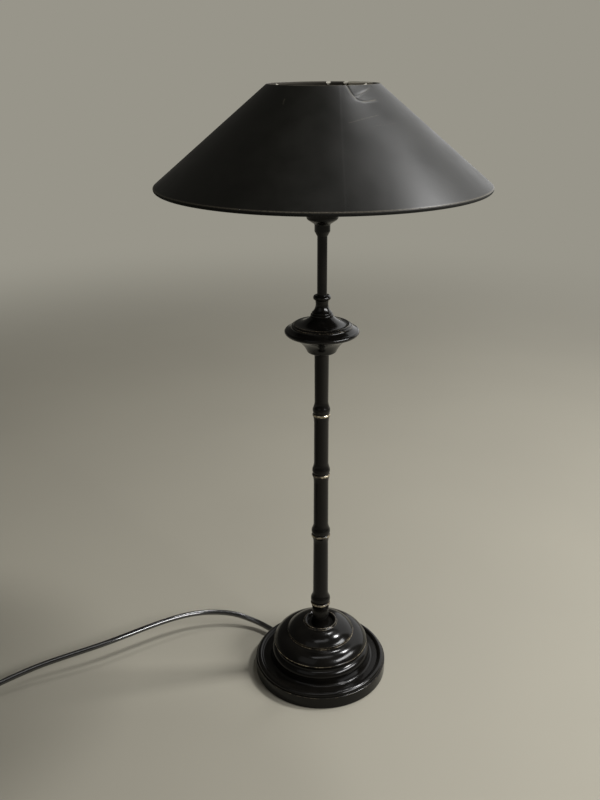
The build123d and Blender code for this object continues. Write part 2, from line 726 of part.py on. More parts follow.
mount_foot_z = contact_z + 4.0
mount_top_z = ball_z - 12
with BuildPart() as bulb_mount:
    with BuildSketch(Plane.XZ):
        with BuildLine():
            Polyline((0, mount_foot_z), (7.0, mount_foot_z), (4.0, mount_foot_z + 12),
                     (2.4, mount_foot_z + 16), (2.4, mount_top_z), (0, mount_top_z), close=True)
        make_face()
    revolve(axis=Axis.Z)
write(bulb_mount, "bulb_mount")

with BuildPart() as bulb_filament:
    with BuildSketch(Plane.XZ):
        with BuildLine():
            Polyline((-1.6, mount_top_z), (-filament_r, ball_z), (filament_r, ball_z),
                     (1.6, mount_top_z), (1.2, mount_top_z), (filament_r - 0.8, ball_z - 0.5),
                     (-filament_r + 0.8, ball_z - 0.5), (-1.2, mount_top_z), close=True)
        make_face()
    extrude(amount=0.25, both=True)
write(bulb_filament, "bulb_filament")

# ---------------------------------------------------------------- shade carrier and shade
ring_foot_z = carrier_z + carrier_plate_t + rest_gap
with BuildPart() as shade_ring:
    with BuildSketch(Plane.XY.offset(ring_foot_z)):
        Circle(shade_ring_r)
        with PolarLocations(shade_ring_r + 0.4, shade_ring_ribs):
            Circle(1.2, mode=Mode.SUBTRACT)
        Circle(skirt_r + running_gap, mode=Mode.SUBTRACT)
    extrude(amount=shade_ring_h)
write(shade_ring, "shade_ring")

wire_foot_z = carrier_z + carrier_plate_t - arm_r - 0.1
with BuildPart() as shade_carrier:
    with BuildSketch(Plane.XY.offset(carrier_z)):
        Circle(carrier_plate_r)
        Circle(skirt_r + rest_gap, mode=Mode.SUBTRACT)
    extrude(amount=carrier_plate_t)
    with BuildSketch(Plane.XZ):
        with Locations((carrier_r, carrier_top_z)):
            Circle(wire_r)
    revolve(axis=Axis.Z)
    for turn in (90, 210, 330):
        with BuildLine() as arm_line:
            FilletPolyline(polar(carrier_plate_r - 1.1, turn, wire_foot_z),
                           polar(carrier_r - 6.5, turn, wire_foot_z),
                           polar(carrier_r, turn, wire_foot_z + 12), polar(carrier_r, turn, carrier_top_z),
                           radius=(6, 12))
        arm = arm_line.wire()
        with BuildSketch(Plane(origin=arm @ 0, z_dir=arm % 0)):
            Circle(arm_r)
        sweep(path=arm)
write(shade_carrier, "shade_carrier")

slope = Vector(shade_low_r - shade_high_r, 0, shade_low_z - shade_high_z).normalized()
outward = Vector(-slope.Z, 0, slope.X)
fold_in = wire_r + fold_gap
fold_out = fold_in + card_t


def along(corner, down, out):
    """A point of the card's section, measured from a wire down the slope and outward."""
    spot = Vector(corner[0], 0, corner[1]) + slope * down + outward * out
    return (spot.X, spot.Z)


spoke_foot = (carrier_r + fitter_ring_w / 2 - 1.2, fitter_z + fitter_ring_t / 2)
spoke_rise = Vector(shade_high_r - spoke_foot[0], 0, shade_high_z - spoke_foot[1])


def spokes(radius, mode=Mode.ADD):
    """Three rods from the fitter's ring out to the upper wire."""
    for turn in (30, 150, 270):
        start = Vector(*polar(spoke_foot[0], turn, spoke_foot[1]))
        lean = Vector(*polar(spoke_rise.X, turn, spoke_rise.Z))
        with BuildSketch(Plane(origin=start, z_dir=lean)) as rod_end:
            Circle(radius)
        extrude(rod_end.sketch, amount=lean.length, mode=mode)


low_wire = (shade_low_r, shade_low_z)
high_wire = (shade_high_r, shade_high_z)
with BuildPart() as shade_cone:
    with BuildSketch(Plane.XZ):
        with BuildLine():
            Line(along(high_wire, 0, fold_out), along(low_wire, 0, fold_out))
            ThreePointArc(along(low_wire, 0, fold_out), along(low_wire, fold_out, 0),
                          along(low_wire, 0, -fold_out))
            Polyline(along(low_wire, 0, -fold_out), along(low_wire, -fold_len, -fold_in - 0.1),
                     along(low_wire, -fold_len, -fold_in + card_t - 0.1), along(low_wire, 0, -fold_in))
            ThreePointArc(along(low_wire, 0, -fold_in), along(low_wire, fold_in, 0),
                          along(low_wire, 0, fold_in))
            Line(along(low_wire, 0, fold_in), along(high_wire, 0, fold_in))
            ThreePointArc(along(high_wire, 0, fold_in), along(high_wire, -fold_in, 0),
                          along(high_wire, 0, -fold_in))
            Polyline(along(high_wire, 0, -fold_in), along(high_wire, fold_len, -fold_in + card_t - 0.1),
                     along(high_wire, fold_len, -fold_in - 0.1), along(high_wire, 0, -fold_out))
            ThreePointArc(along(high_wire, 0, -fold_out), along(high_wire, -fold_out, 0),
                          along(high_wire, 0, fold_out))
        make_face()
    revolve(axis=Axis.Z)
    spokes(arm_r + running_gap, Mode.SUBTRACT)
write(shade_cone, "shade_cone")

for wire_name, (ring_r, ring_z) in (("shade_bottom_wire", low_wire), ("shade_top_wire", high_wire)):
    with BuildPart() as edge_wire:
        with BuildSketch(Plane.XZ):
            with Locations((ring_r, ring_z)):
                Circle(wire_r)
        revolve(axis=Axis.Z)
    write(edge_wire, wire_name)

with BuildPart() as shade_fitter:
    with BuildSketch(Plane.XY.offset(fitter_z)):
        Circle(carrier_r + fitter_ring_w / 2)
        Circle(carrier_r - fitter_ring_w / 2, mode=Mode.SUBTRACT)
    extrude(amount=fitter_ring_t)
    spokes(arm_r)
write(shade_fitter, "shade_fitter")

# ---------------------------------------------------------------- mains cord
# Route of the free cord: out of the foot, up in a low arch, down to the floor and into the coil.
cord_route = [
    polar(foot_r + gland_flange_t, exit_angle, exit_z), polar(foot_r + 18.2, exit_angle, exit_z),
    (-82.8, 73.4, 11.3), (-101.5, 77.9, 16.6), (-125.5, 77.6, 20.6), (-153.2, 70.2, 24.8),
    (-184.0, 54.3, 27.4), (-217.0, 33.8, 28.0), (-252.0, 13.4, 26.8), (-288.0, -1.0, 24.2),
    (-324.0, -14.8, 20.4), (-359.0, -33.0, 15.2), (-390.0, -50.0, 9.4), (-418.0, -61.2, 4.8),
    (coil_x, coil_top_y, cord_r),
]
coil_z_top = cord_r + 2 * cord_r
tail_route = [
    (coil_x, coil_top_y, coil_z_top), (coil_x - 19.0, coil_top_y + 0.6, coil_z_top + 0.5),
    (coil_x - 40.0, coil_top_y - 1.4, coil_z_top + 0.9), (coil_x - 60.0, plug_y + 0.4, plug_t / 2 + 0.1),
    (coil_x - 78.0, plug_y, plug_t / 2), (plug_face_x, plug_y, plug_t / 2),
]


def cord_path(route):
    """Straight runs joined by arcs as large as the runs allow; returns the path and the arcs' radii."""
    points = [Vector(*point) for point in route]
    radii = []
    for before, here, after in zip(points, points[1:], points[2:]):
        turn = (here - before).get_angle(after - here)
        shorter = min((here - before).length, (after - here).length)
        radii.append(0.45 * shorter / math.tan(math.radians(turn / 2)))
    with BuildLine() as line:
        FilletPolyline(*route, radius=radii)
    return line.wire(), radii


def cord_tube(route, node):
    path, radii = cord_path(route)
    with BuildPart() as tube:
        with BuildSketch(Plane(origin=path @ 0, z_dir=path % 0)):
            Circle(cord_r)
        sweep(path=path)
    print(node, "length", round(path.length, 1), "radii", [round(radius) for radius in radii],
          "volume ratio", round(tube.part.volume / (math.pi * cord_r**2 * path.length), 4))
    write(tube, node)
    return path.length


free_length = cord_tube(cord_route, "cord")
tail_length = cord_tube(tail_route, "cord_tail")

coil_half_w = coil_across * cord_r
coil_y = coil_top_y - coil_mid_r - coil_half_w + cord_r
with BuildPart() as coil_ring:
    with BuildSketch(Plane.XZ):
        with Locations((coil_mid_r, 2 * cord_r)):
            RectangleRounded(2 * coil_half_w, 4 * cord_r, cord_r - 0.01)
    revolve(axis=Axis.Z)
with BuildPart() as cord_coil:
    with Locations((coil_x, coil_y, 0)):
        add(coil_ring.part)
write(cord_coil, "cord_coil")
coil_length = coil_turns * 2 * math.pi * coil_mid_r
print("cord in all", round(free_length + tail_length + coil_length))

with BuildPart() as inner_flex:
    sheath_end = clamp_r - 6
    with BuildSketch(Plane(origin=polar(foot_r + gland_flange_t, exit_angle, exit_z),
                           z_dir=polar(-1, exit_angle, 0))):
        Circle(cord_r)
    extrude(amount=foot_r + gland_flange_t - sheath_end)
    core_foot_z = plate_top + core_r + 0.6
    core_route = [polar(sheath_end + 2, exit_angle, exit_z),
                  polar(sheath_end - 14, exit_angle, core_foot_z + 1.4),
                  polar(rod_r + 0.3, exit_angle, core_foot_z), (0, 0, rod_foot_z + 0.2),
                  (0, 0, flare_z + 4)]
    with BuildLine() as core_line:
        FilletPolyline(*core_route, radius=(20, 2.5, 2.5))
    with BuildSketch(Plane(origin=core_line.wire() @ 0, z_dir=core_line.wire() % 0)):
        Circle(core_r)
    sweep(path=core_line.wire())
write(inner_flex, "inner_flex")

# ---------------------------------------------------------------- plug (three flat pins, lying on its back)
with BuildPart() as plug_body:
    with BuildSketch():
        with BuildLine() as plug_side:
            Polyline((plug_face_x, plug_y), (plug_face_x, plug_y + plug_nose_w / 2),
                     (plug_face_x - plug_shoulder, plug_y + plug_w / 2),
                     (plug_face_x - plug_l + plug_taper, plug_y + plug_w / 2),
                     (plug_face_x - plug_l, plug_y + plug_end_w / 2), (plug_face_x - plug_l, plug_y))
            mirror(about=Plane.XZ.offset(-plug_y))
        make_face()
    extrude(amount=plug_t)
    fillet(plug_body.edges().filter_by(Axis.Z), 5)
    fillet(plug_body.faces().sort_by(Axis.Z)[0].edges(), 2.5)
    with Locations((plug_face_x - fuse_x, plug_y, plug_t)):
        Box(fuse_l + 0.2, fuse_w + 0.2, 2 * (fuse_h + 0.2), mode=Mode.SUBTRACT)
write(plug_body, "plug_body")

with BuildPart() as plug_fuse_carrier:
    with Locations((plug_face_x - fuse_x, plug_y, plug_t)):
        Box(fuse_l, fuse_w, fuse_h, align=(Align.CENTER, Align.CENTER, Align.MAX))
    fillet(plug_fuse_carrier.edges().filter_by(Axis.Z), 1)
write(plug_fuse_carrier, "plug_fuse_carrier")

pin_row_x = plug_face_x - pin_x
with BuildPart() as plug_pins:
    with Locations((pin_row_x, plug_y + pin_half, plug_t), (pin_row_x, plug_y - pin_half, plug_t)):
        Box(3.95, 6.35, 17.7, align=upright)
    with Locations((pin_row_x - pin_rows, plug_y, plug_t)):
        Box(7.95, 3.95, 22.7, align=upright)
    chamfer(plug_pins.faces().filter_by(Axis.Z).group_by(Axis.Z)[-1].edges(), 1)
write(plug_pins, "plug_pins")

with BuildPart() as plug_relief:
    with BuildSketch(Plane(origin=(plug_face_x, plug_y, plug_t / 2), z_dir=(1, 0, 0))):
        Circle(relief_r)
    with BuildSketch(Plane(origin=(plug_face_x + relief_l, plug_y, plug_t / 2), z_dir=(1, 0, 0))):
        Circle(cord_r + 1.0)
    loft()
    with Locations(Location((plug_face_x + relief_l / 2, plug_y, plug_t / 2), (0, 90, 0))):
        Cylinder(cord_r + 2 * running_gap, 2 * relief_l, mode=Mode.SUBTRACT)
write(plug_relief, "plug_relief")
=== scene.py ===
import math

import bmesh
import bpy
from mathutils import Matrix, Vector


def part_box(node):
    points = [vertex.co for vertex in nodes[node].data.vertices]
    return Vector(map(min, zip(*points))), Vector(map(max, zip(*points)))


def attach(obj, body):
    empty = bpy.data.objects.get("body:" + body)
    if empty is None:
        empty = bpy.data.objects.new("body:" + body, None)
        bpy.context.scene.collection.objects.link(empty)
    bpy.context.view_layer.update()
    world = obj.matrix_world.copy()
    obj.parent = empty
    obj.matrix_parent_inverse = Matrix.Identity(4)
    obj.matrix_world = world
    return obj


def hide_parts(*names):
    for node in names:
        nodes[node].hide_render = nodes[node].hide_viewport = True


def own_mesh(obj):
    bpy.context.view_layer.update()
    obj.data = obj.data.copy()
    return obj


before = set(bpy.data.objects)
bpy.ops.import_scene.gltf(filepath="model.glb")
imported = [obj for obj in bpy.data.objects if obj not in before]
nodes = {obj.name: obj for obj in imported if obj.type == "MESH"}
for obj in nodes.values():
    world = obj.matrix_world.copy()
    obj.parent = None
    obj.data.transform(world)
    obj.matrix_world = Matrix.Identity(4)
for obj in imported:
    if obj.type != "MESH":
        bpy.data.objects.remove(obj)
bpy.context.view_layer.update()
mm = 0.001
print("frame loaded")

# the camera stands in front, a little to the left, and looks down on the foot; mm and degrees
view = {"place": (-50.7, -806.4, 669.8), "down": 22.43, "turn": 2.03, "roll": -0.307, "lens": 38.24}
cameraData = bpy.data.cameras.new("camera")
cameraData.lens = view["lens"]
cameraData.sensor_width = 36
cameraData.clip_start = 0.01
camera = bpy.data.objects.new("camera", cameraData)
bpy.context.scene.collection.objects.link(camera)
camera.matrix_world = (
    Matrix.Translation(Vector(view["place"]) * mm)
    @ Matrix.Rotation(math.radians(-view["turn"]), 4, "Z")
    @ Matrix.Rotation(math.radians(90 - view["down"]), 4, "X")
    @ Matrix.Rotation(math.radians(view["roll"]), 4, "Z")
)
bpy.context.scene.camera = camera


def addNode(tree, kind, settings=(), links=()):
    node = tree.nodes.new(kind)
    for name, value in dict(settings).items():
        if isinstance(name, int) or name in node.inputs:
            node.inputs[name].default_value = value
        else:
            setattr(node, name, value)
    for name, source in dict(links).items():
        tree.links.new(source, node.inputs[name])
    return node


def hexColor(code):
    # from the colour as a screen shows it to the linear one that a shader takes
    parts = [int(code[i:i + 2], 16) / 255 for i in (1, 3, 5)]
    return [c / 12.92 if c <= 0.04045 else ((c + 0.055) / 1.055) ** 2.4 for c in parts] + [1.0]


def newMaterial(name):
    material = bpy.data.materials.new(name)
    material.use_nodes = True
    tree = material.node_tree
    place = addNode(tree, "ShaderNodeTexCoord")
    return material, tree, tree.nodes["Principled BSDF"], place.outputs["Object"]


# how finely outlines are drawn: points along an arc, and more near the ends of a long straight run; mm
drawing = {"arcStep": 0.5, "arcCounts": (3, 28), "longRun": 5, "nearEnds": (0.6, 1.5)}


def arcPoints(a, b, c):
    # points after a on the circle through a, b and c, as far as c
    a, b, c = Vector(a), Vector(b), Vector(c)
    d = 2 * (a.x * (b.y - c.y) + b.x * (c.y - a.y) + c.x * (a.y - b.y))
    if abs(d) < 1e-9:
        return [tuple(c)]
    aa, bb, cc = a.length_squared, b.length_squared, c.length_squared
    center = Vector((
        (aa * (b.y - c.y) + bb * (c.y - a.y) + cc * (a.y - b.y)) / d,
        (aa * (c.x - b.x) + bb * (a.x - c.x) + cc * (b.x - a.x)) / d,
    ))
    radius = (a - center).length
    start = math.atan2(a.y - center.y, a.x - center.x)
    middle = (math.atan2(b.y - center.y, b.x - center.x) - start) % math.tau
    sweep = (math.atan2(c.y - center.y, c.x - center.x) - start) % math.tau
    if middle > sweep:
        sweep -= math.tau
    fewest, most = drawing["arcCounts"]
    count = max(fewest, min(most, round(abs(sweep) * radius / drawing["arcStep"])))
    angles = [start + sweep * i / count for i in range(1, count + 1)]
    return [(center.x + radius * math.cos(t), center.y + radius * math.sin(t)) for t in angles]


def outlinePoints(outline):
    # a pair is a corner; a pair of pairs is an arc through the first, ending at the second
    points = []
    for step in outline:
        if isinstance(step[0], tuple):
            points += arcPoints(points[-1], *step)
            continue
        # a long straight run gets points near its ends, for the wear to fade over
        if points and math.dist(points[-1], step) > drawing["longRun"]:
            start, end = Vector(points[-1]), Vector(step)
            near = [d / (end - start).length for d in drawing["nearEnds"]]
            points += [tuple(start.lerp(end, share)) for share in (*near, 1 - near[1], 1 - near[0])]
        points.append(step)
    return points


def meshPiece(name, bm, body, material, stands=(), sharp=32):
    # edges that bend by more than sharp, in degrees, stay crisp
    for face in bm.faces:
        face.smooth = True
    for edge in bm.edges:
        edge.smooth = len(edge.link_faces) != 2 or edge.calc_face_angle(0) < math.radians(sharp)
    mesh = bpy.data.meshes.new(name)
    bm.to_mesh(mesh)
    bm.free()
    piece = bpy.data.objects.new(name, mesh)
    bpy.context.scene.collection.objects.link(piece)
    mesh.materials.append(material)
    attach(piece, body)
    if stands:
        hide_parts(*stands)
    return piece


def turnedSolid(outline, steps):
    # a closed outline of (radius, height) in mm, turned once round the stem's axis
    bm = bmesh.new()
    verts = [bm.verts.new((r * mm, 0, z * mm)) for r, z in outlinePoints(outline)]
    edges = [bm.edges.new((a, b)) for a, b in zip(verts, verts[1:] + verts[:1])]
    bmesh.ops.spin(bm, geom=verts + edges, cent=(0, 0, 0), axis=(0, 0, 1), angle=math.tau,
                   steps=steps, use_merge=True, use_duplicate=False)
    bmesh.ops.remove_doubles(bm, verts=bm.verts, dist=1e-6)
    bmesh.ops.recalc_face_normals(bm, faces=bm.faces)
    return bm


def paintWearAndLight(bm, rings):
    # rings of rubbed edge, partly painted glint, as (radius, height, width, amount) in mm, kept as an
    # attribute for the finish to read
    layer = bm.verts.layers.float.new("edgeWearAndLight")
    for vert in bm.verts:
        radius, height = math.hypot(vert.co.x, vert.co.y) / mm, vert.co.z / mm
        vert[layer] = max([0.0] + [
            amount * math.exp(-((radius - r) ** 2 + (height - z) ** 2) / width ** 2)
            for r, z, width, amount in rings
        ])


# the mains cord: out of the foot, up in a low arch, down to the table and into its coil; mm
cord = {
    "exit": (-54.35, 53.41, 8.3),
    "route": [
        (-66.48, 65.33, 8.3), (-82.8, 73.4, 11.3), (-101.5, 77.9, 16.6), (-125.5, 77.6, 20.6),
        (-153.2, 70.2, 24.8), (-184.0, 54.3, 27.4), (-217.0, 33.8, 28.0), (-252.0, 13.4, 26.8),
        (-288.0, -1.0, 24.2), (-324.0, -14.8, 20.4), (-359.0, -33.0, 15.2), (-390.0, -50.0, 9.4),
        (-418.0, -61.2, 4.8),
    ],
    "tail": [(-465.0, -63.4, 10.25), (-486.0, -65.4, 10.65), (-506.0, -67.4, 10.1),
             (-524.0, -67.8, 10.0), (-540.0, -67.8, 10.0)],
    "thick": 6.5, "length": 1.74,
    "coilPlace": (-446.0, -109.0), "coilRadii": (45.0, 38.5, 32.0), "turns": 5, "perTurn": 16,
}


def coilPoints():
    outer, middle, inner = cord["coilRadii"]
    low, high = cord["thick"] / 2, 1.5 * cord["thick"]
    # (turns so far, radius, height): level stretches with short steps between them
    stations = [(0.0, outer, low), (0.7, outer, low), (1.0, middle, low), (1.7, middle, low),
                (2.0, inner, low), (2.3, inner, low), (2.55, inner, high), (3.7, inner, high),
                (4.0, middle, high), (4.5, middle, high), (4.75, outer, high), (5.0, outer, high)]
    spots = []
    total = cord["turns"] * cord["perTurn"]
    # the spline runs inside its points by this share
    shrink = 0.75 + 0.25 * math.cos(math.tau / cord["perTurn"])
    for i in range(total + 1):
        t = i / cord["perTurn"]
        for (t0, r0, z0), (t1, r1, z1) in zip(stations, stations[1:]):
            if t0 <= t <= t1:
                share = (t - t0) / (t1 - t0)
                radius, height = r0 + (r1 - r0) * share, z0 + (z1 - z0) * share
                break
        angle = math.pi / 2 + t * math.tau
        radius = radius / shrink if 0 < i < total else radius
        x, y = cord["coilPlace"]
        spots.append((x + radius * math.cos(angle), y + radius * math.sin(angle), height))
    return spots


cordCurve = bpy.data.curves.new("mainsCord", "CURVE")
cordCurve.dimensions = "3D"
spline = cordCurve.splines.new("NURBS")
cordPoints = [cord["exit"]] + cord["route"] + coilPoints() + cord["tail"]
spline.points.add(len(cordPoints) - 1)
for point, spot in zip(spline.points, cordPoints):
    point.co = (*(v * mm for v in spot), 1)
    point.radius = cord["thick"] / 2 * mm
spline.order_u = 3
spline.use_endpoint_u = True
spline.resolution_u = 8
cordCurve.bevel_depth = 1.0  # the points' own radius gives the thickness
cordCurve.bevel_resolution = 5
cordCurve.use_fill_caps = True
mainsCord = bpy.data.objects.new("mainsCord", cordCurve)
bpy.context.scene.collection.objects.link(mainsCord)
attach(mainsCord, "lamp")
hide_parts("cord", "cord_coil", "cord_tail")
print("camera and cord made")

# each finish is two tones in soft patches, a fine grain in the bump and a roughness that wanders;
# patch, grain and depth in mm
finishes = {
    # moulded PVC: a clear, wet-looking gloss over faint flow marks
    "mouldedPvc": {
        "tones": ("#080808", "#100F0E"), "patch": 22, "rough": (0.12, 0.22), "grain": 0.9, "depth": 0.006,
        "fixed": {"IOR": 1.53, "Specular IOR Level": 0.9, "Coat Weight": 1.0, "Coat Roughness": 0.08},
        "nodes": [],
    },
    # pressed phenolic resin: hard gloss, dulled by dust
    "pressedPhenolic": {
        "tones": ("#151110", "#211B18"), "patch": 9, "rough": (0.22, 0.42), "grain": 0.7, "depth": 0.01,
        "fixed": {"IOR": 1.63},
        "nodes": ["holder_skirt", "terminal_block", "plunger_carrier", "shade_ring", "cord_gland"],
    },
    # moulded ABS of the switch bar: an even, quiet sheen
    "mouldedAbs": {
        "tones": ("#181615", "#221F1D"), "patch": 6, "rough": (0.25, 0.38), "grain": 0.5, "depth": 0.008,
        "fixed": {"IOR": 1.54},
        "nodes": ["push_bar"],
    },
    # moulded nylon of the plug: fine spark-eroded texture
    "texturedNylon": {
        "tones": ("#161616", "#1F1E1E"), "patch": 14, "rough": (0.45, 0.62), "grain": 0.35, "depth": 0.03,
        "fixed": {"IOR": 1.53},
        "nodes": ["plug_body", "plug_fuse_carrier", "plug_relief"],
    },
    # zinc plated steel: pale, clouded by passivation
    "zincPlate": {
        "tones": ("#A9ABA9", "#C4C2B4"), "patch": 5, "rough": (0.28, 0.48), "grain": 0.6, "depth": 0.01,
        "fixed": {"Metallic": 1.0},
        "nodes": ["base_plate", "plate_screws", "cord_clamp", "clamp_screws", "rod_washer", "rod_nut",
                  "tie_rod"],
    },
    # turned brass of the pins and terminals: warm and bright, with a fine tool grain
    "turnedBrass": {
        "tones": ("#B8924E", "#D0AE6C"), "patch": 4, "rough": (0.2, 0.36), "grain": 0.3, "depth": 0.006,
        "fixed": {"Metallic": 1.0},
        "nodes": ["terminal_posts", "contact_plungers", "bulb_pins", "plug_pins"],
    },
    # sand cast iron of the weight: dark, dull and rough from the mould
    "sandCastIron": {
        "tones": ("#2B2A29", "#3B3835"), "patch": 12, "rough": (0.6, 0.8), "grain": 1.1, "depth": 0.18,
        "fixed": {"Metallic": 0.6},
        "nodes": ["base_weight"],
    },
    # pressed wool felt under the foot: matt green with a soft nap
    "woolFelt": {
        "tones": ("#1E3A2A", "#2A4A37"), "patch": 6, "rough": (0.9, 1.0), "grain": 0.6, "depth": 0.25,
        "fixed": {"Sheen Weight": 0.4},
        "nodes": ["felt_pad"],
    },
    # stoved enamel on the shade's wires: off-white, greyed by dust
    "stovedEnamel": {
        "tones": ("#A09C90", "#B2AEA2"), "patch": 8, "rough": (0.25, 0.4), "grain": 1.2, "depth": 0.02,
        "fixed": {"IOR": 1.5},
        "nodes": ["shade_carrier", "shade_fitter", "shade_bottom_wire", "shade_top_wire"],
    },
    # drawn spring wire: plain bright grey
    "springWire": {
        "tones": ("#8E8F90", "#A5A5A4"), "patch": 2, "rough": (0.25, 0.4), "grain": 0.3, "depth": 0.004,
        "fixed": {"Metallic": 1.0},
        "nodes": ["plunger_springs", "bulb_contacts"],
    },
    # drawn aluminium of the bulb's cap: pale, with soft handling marks
    "drawnAluminium": {
        "tones": ("#C2C3C4", "#D3D2CF"), "patch": 5, "rough": (0.25, 0.42), "grain": 0.5, "depth": 0.01,
        "fixed": {"Metallic": 1.0},
        "nodes": ["bulb_cap"],
    },
    # pressed vitrite, the black glass under the cap: purple-black gloss
    "blackVitrite": {
        "tones": ("#0E0D12", "#17151C"), "patch": 3, "rough": (0.08, 0.2), "grain": 0.8, "depth": 0.02,
        "fixed": {"IOR": 1.52},
        "nodes": ["bulb_insulator"],
    },
    # blown soda-lime glass: clear, with long slow waves
    "blownGlass": {
        "tones": ("#F4F5F2", "#FFFFFF"), "patch": 20, "rough": (0.0, 0.02), "grain": 14, "depth": 0.04,
        "fixed": {"IOR": 1.51, "Transmission Weight": 1.0},
        "nodes": ["bulb_glass", "bulb_mount"],
    },
    # drawn tungsten: dull dark grey
    "drawnTungsten": {
        "tones": ("#5A5650", "#6B675F"), "patch": 1, "rough": (0.4, 0.6), "grain": 0.2, "depth": 0.003,
        "fixed": {"Metallic": 1.0},
        "nodes": ["bulb_filament"],
    },
}


def mottledFinish(name, settings):
    material, tree, shader, place = newMaterial(name)
    patches = addNode(tree, "ShaderNodeTexNoise", {"Scale": 1 / (settings["patch"] * mm), "Detail": 4.0},
                      {"Vector": place})
    grain = addNode(tree, "ShaderNodeTexNoise", {"Scale": 1 / (settings["grain"] * mm), "Detail": 2.0},
                    {"Vector": place})
    dark, pale = (hexColor(tone) for tone in settings["tones"])
    tones = addNode(tree, "ShaderNodeMix", {"data_type": "RGBA", 6: dark, 7: pale},
                    {0: patches.outputs["Fac"]})
    smooth, dull = settings["rough"]
    rough = addNode(tree, "ShaderNodeMapRange",
                    {"From Min": 0.3, "From Max": 0.7, "To Min": smooth, "To Max": dull},
                    {"Value": patches.outputs["Fac"]})
    bump = addNode(tree, "ShaderNodeBump", {"Distance": settings["depth"] * mm},
                   {"Height": grain.outputs["Fac"]})
    tree.links.new(tones.outputs[2], shader.inputs["Base Color"])
    tree.links.new(rough.outputs["Result"], shader.inputs["Roughness"])
    tree.links.new(bump.outputs["Normal"], shader.inputs["Normal"])
    for socket, value in settings["fixed"].items():
        shader.inputs[socket].default_value = value
    for node in settings["nodes"]:
        for slot in nodes[node].material_slots:
            slot.material = material
    return material


materials = {name: mottledFinish(name, settings) for name, settings in finishes.items()}
mainsCord.data.materials.append(materials["mouldedPvc"])

# black stoving lacquer over turned brass: a deep gloss, rubbed to brown and gold at the edges; the pale gold
# is partly painted glints along the edges; mm
lacquer = {"dark": "#050505", "warm": "#100E0B", "brown": "#574F41", "goldAndGlint": "#CFC3A8",
           "patch": 16, "rubbed": 1.5, "broken": 9, "peel": 1.4, "peelDepth": 0.008, "rough": (0.12, 0.24)}


def lacqueredBrass():
    material, tree, shader, place = newMaterial("lacqueredBrass")
    patches = addNode(tree, "ShaderNodeTexNoise", {"Scale": 1 / (lacquer["patch"] * mm), "Detail": 5.0},
                      {"Vector": place})
    rubbed = addNode(tree, "ShaderNodeTexNoise",
                     {"Scale": 1 / (lacquer["rubbed"] * mm), "Detail": 4.0, "Roughness": 0.65},
                     {"Vector": place})
    broken = addNode(tree, "ShaderNodeTexNoise", {"Scale": 1 / (lacquer["broken"] * mm), "Detail": 1.0},
                     {"Vector": place})
    peel = addNode(tree, "ShaderNodeTexNoise", {"Scale": 1 / (lacquer["peel"] * mm), "Detail": 1.0},
                   {"Vector": place})
    wearAndLight = addNode(tree, "ShaderNodeAttribute", {"attribute_name": "edgeWearAndLight"})
    base = addNode(tree, "ShaderNodeMix",
                   {"data_type": "RGBA", 6: hexColor(lacquer["dark"]), 7: hexColor(lacquer["warm"])},
                   {0: patches.outputs["Fac"]})
    # the painted rings of rubbed edge and glint, broken into stretches and then into specks
    stretch = addNode(tree, "ShaderNodeMapRange",
                      {"From Min": 0.35, "From Max": 0.6, "To Min": 0.55, "To Max": 1.0},
                      {"Value": broken.outputs["Fac"]})
    edge = addNode(tree, "ShaderNodeMath", {"operation": "MULTIPLY"},
                   {0: wearAndLight.outputs["Fac"], 1: stretch.outputs["Result"]})
    specks = addNode(tree, "ShaderNodeMath", {"operation": "MULTIPLY_ADD", 1: 1.1, 2: -0.62},
                     {0: rubbed.outputs["Fac"]})
    reach = addNode(tree, "ShaderNodeMath", {"operation": "ADD"},
                    {0: edge.outputs[0], 1: specks.outputs[0]})
    thin = addNode(tree, "ShaderNodeMapRange", {"From Min": 0.2, "From Max": 0.6},
                   {"Value": reach.outputs[0]})
    bareAndLit = addNode(tree, "ShaderNodeMapRange", {"From Min": 0.52, "From Max": 0.7},
                   {"Value": reach.outputs[0]})
    browned = addNode(tree, "ShaderNodeMix", {"data_type": "RGBA", 7: hexColor(lacquer["brown"])},
                      {0: thin.outputs["Result"], 6: base.outputs[2]})
    giltAndGlint = addNode(tree, "ShaderNodeMix", {"data_type": "RGBA", 7: hexColor(lacquer["goldAndGlint"])},
                   {0: bareAndLit.outputs["Result"], 6: browned.outputs[2]})
    smooth, dull = lacquer["rough"]
    rough = addNode(tree, "ShaderNodeMapRange",
                    {"From Min": 0.3, "From Max": 0.75, "To Min": smooth, "To Max": dull},
                    {"Value": patches.outputs["Fac"]})
    bump = addNode(tree, "ShaderNodeBump", {"Distance": lacquer["peelDepth"] * mm},
                   {"Height": peel.outputs["Fac"]})
    tree.links.new(giltAndGlint.outputs[2], shader.inputs["Base Color"])
    tree.links.new(bareAndLit.outputs["Result"], shader.inputs["Metallic"])
    tree.links.new(rough.outputs["Result"], shader.inputs["Roughness"])
    tree.links.new(bump.outputs["Normal"], shader.inputs["Normal"])
    shader.inputs["IOR"].default_value = 1.5
    shader.inputs["Specular IOR Level"].default_value = 0.23
    return material


materials["lacqueredBrass"] = lacqueredBrass()
for slot in nodes["holder_cap"].material_slots:
    slot.material = materials["lacqueredBrass"]
print("finishes made")

rodRoom = 5.3  # the stem's bore round its rod, mm
turnedSteps = {"wide": 192, "slim": 96}  # faces round a turned piece


def brassPiece(name, settings, steps=turnedSteps["wide"]):
    bm = turnedSolid(settings["outline"], steps)
    paintWearAndLight(bm, settings["wornAndLit"])
    return meshPiece(name, bm, "lamp", materials["lacqueredBrass"],
                     settings["stands"])
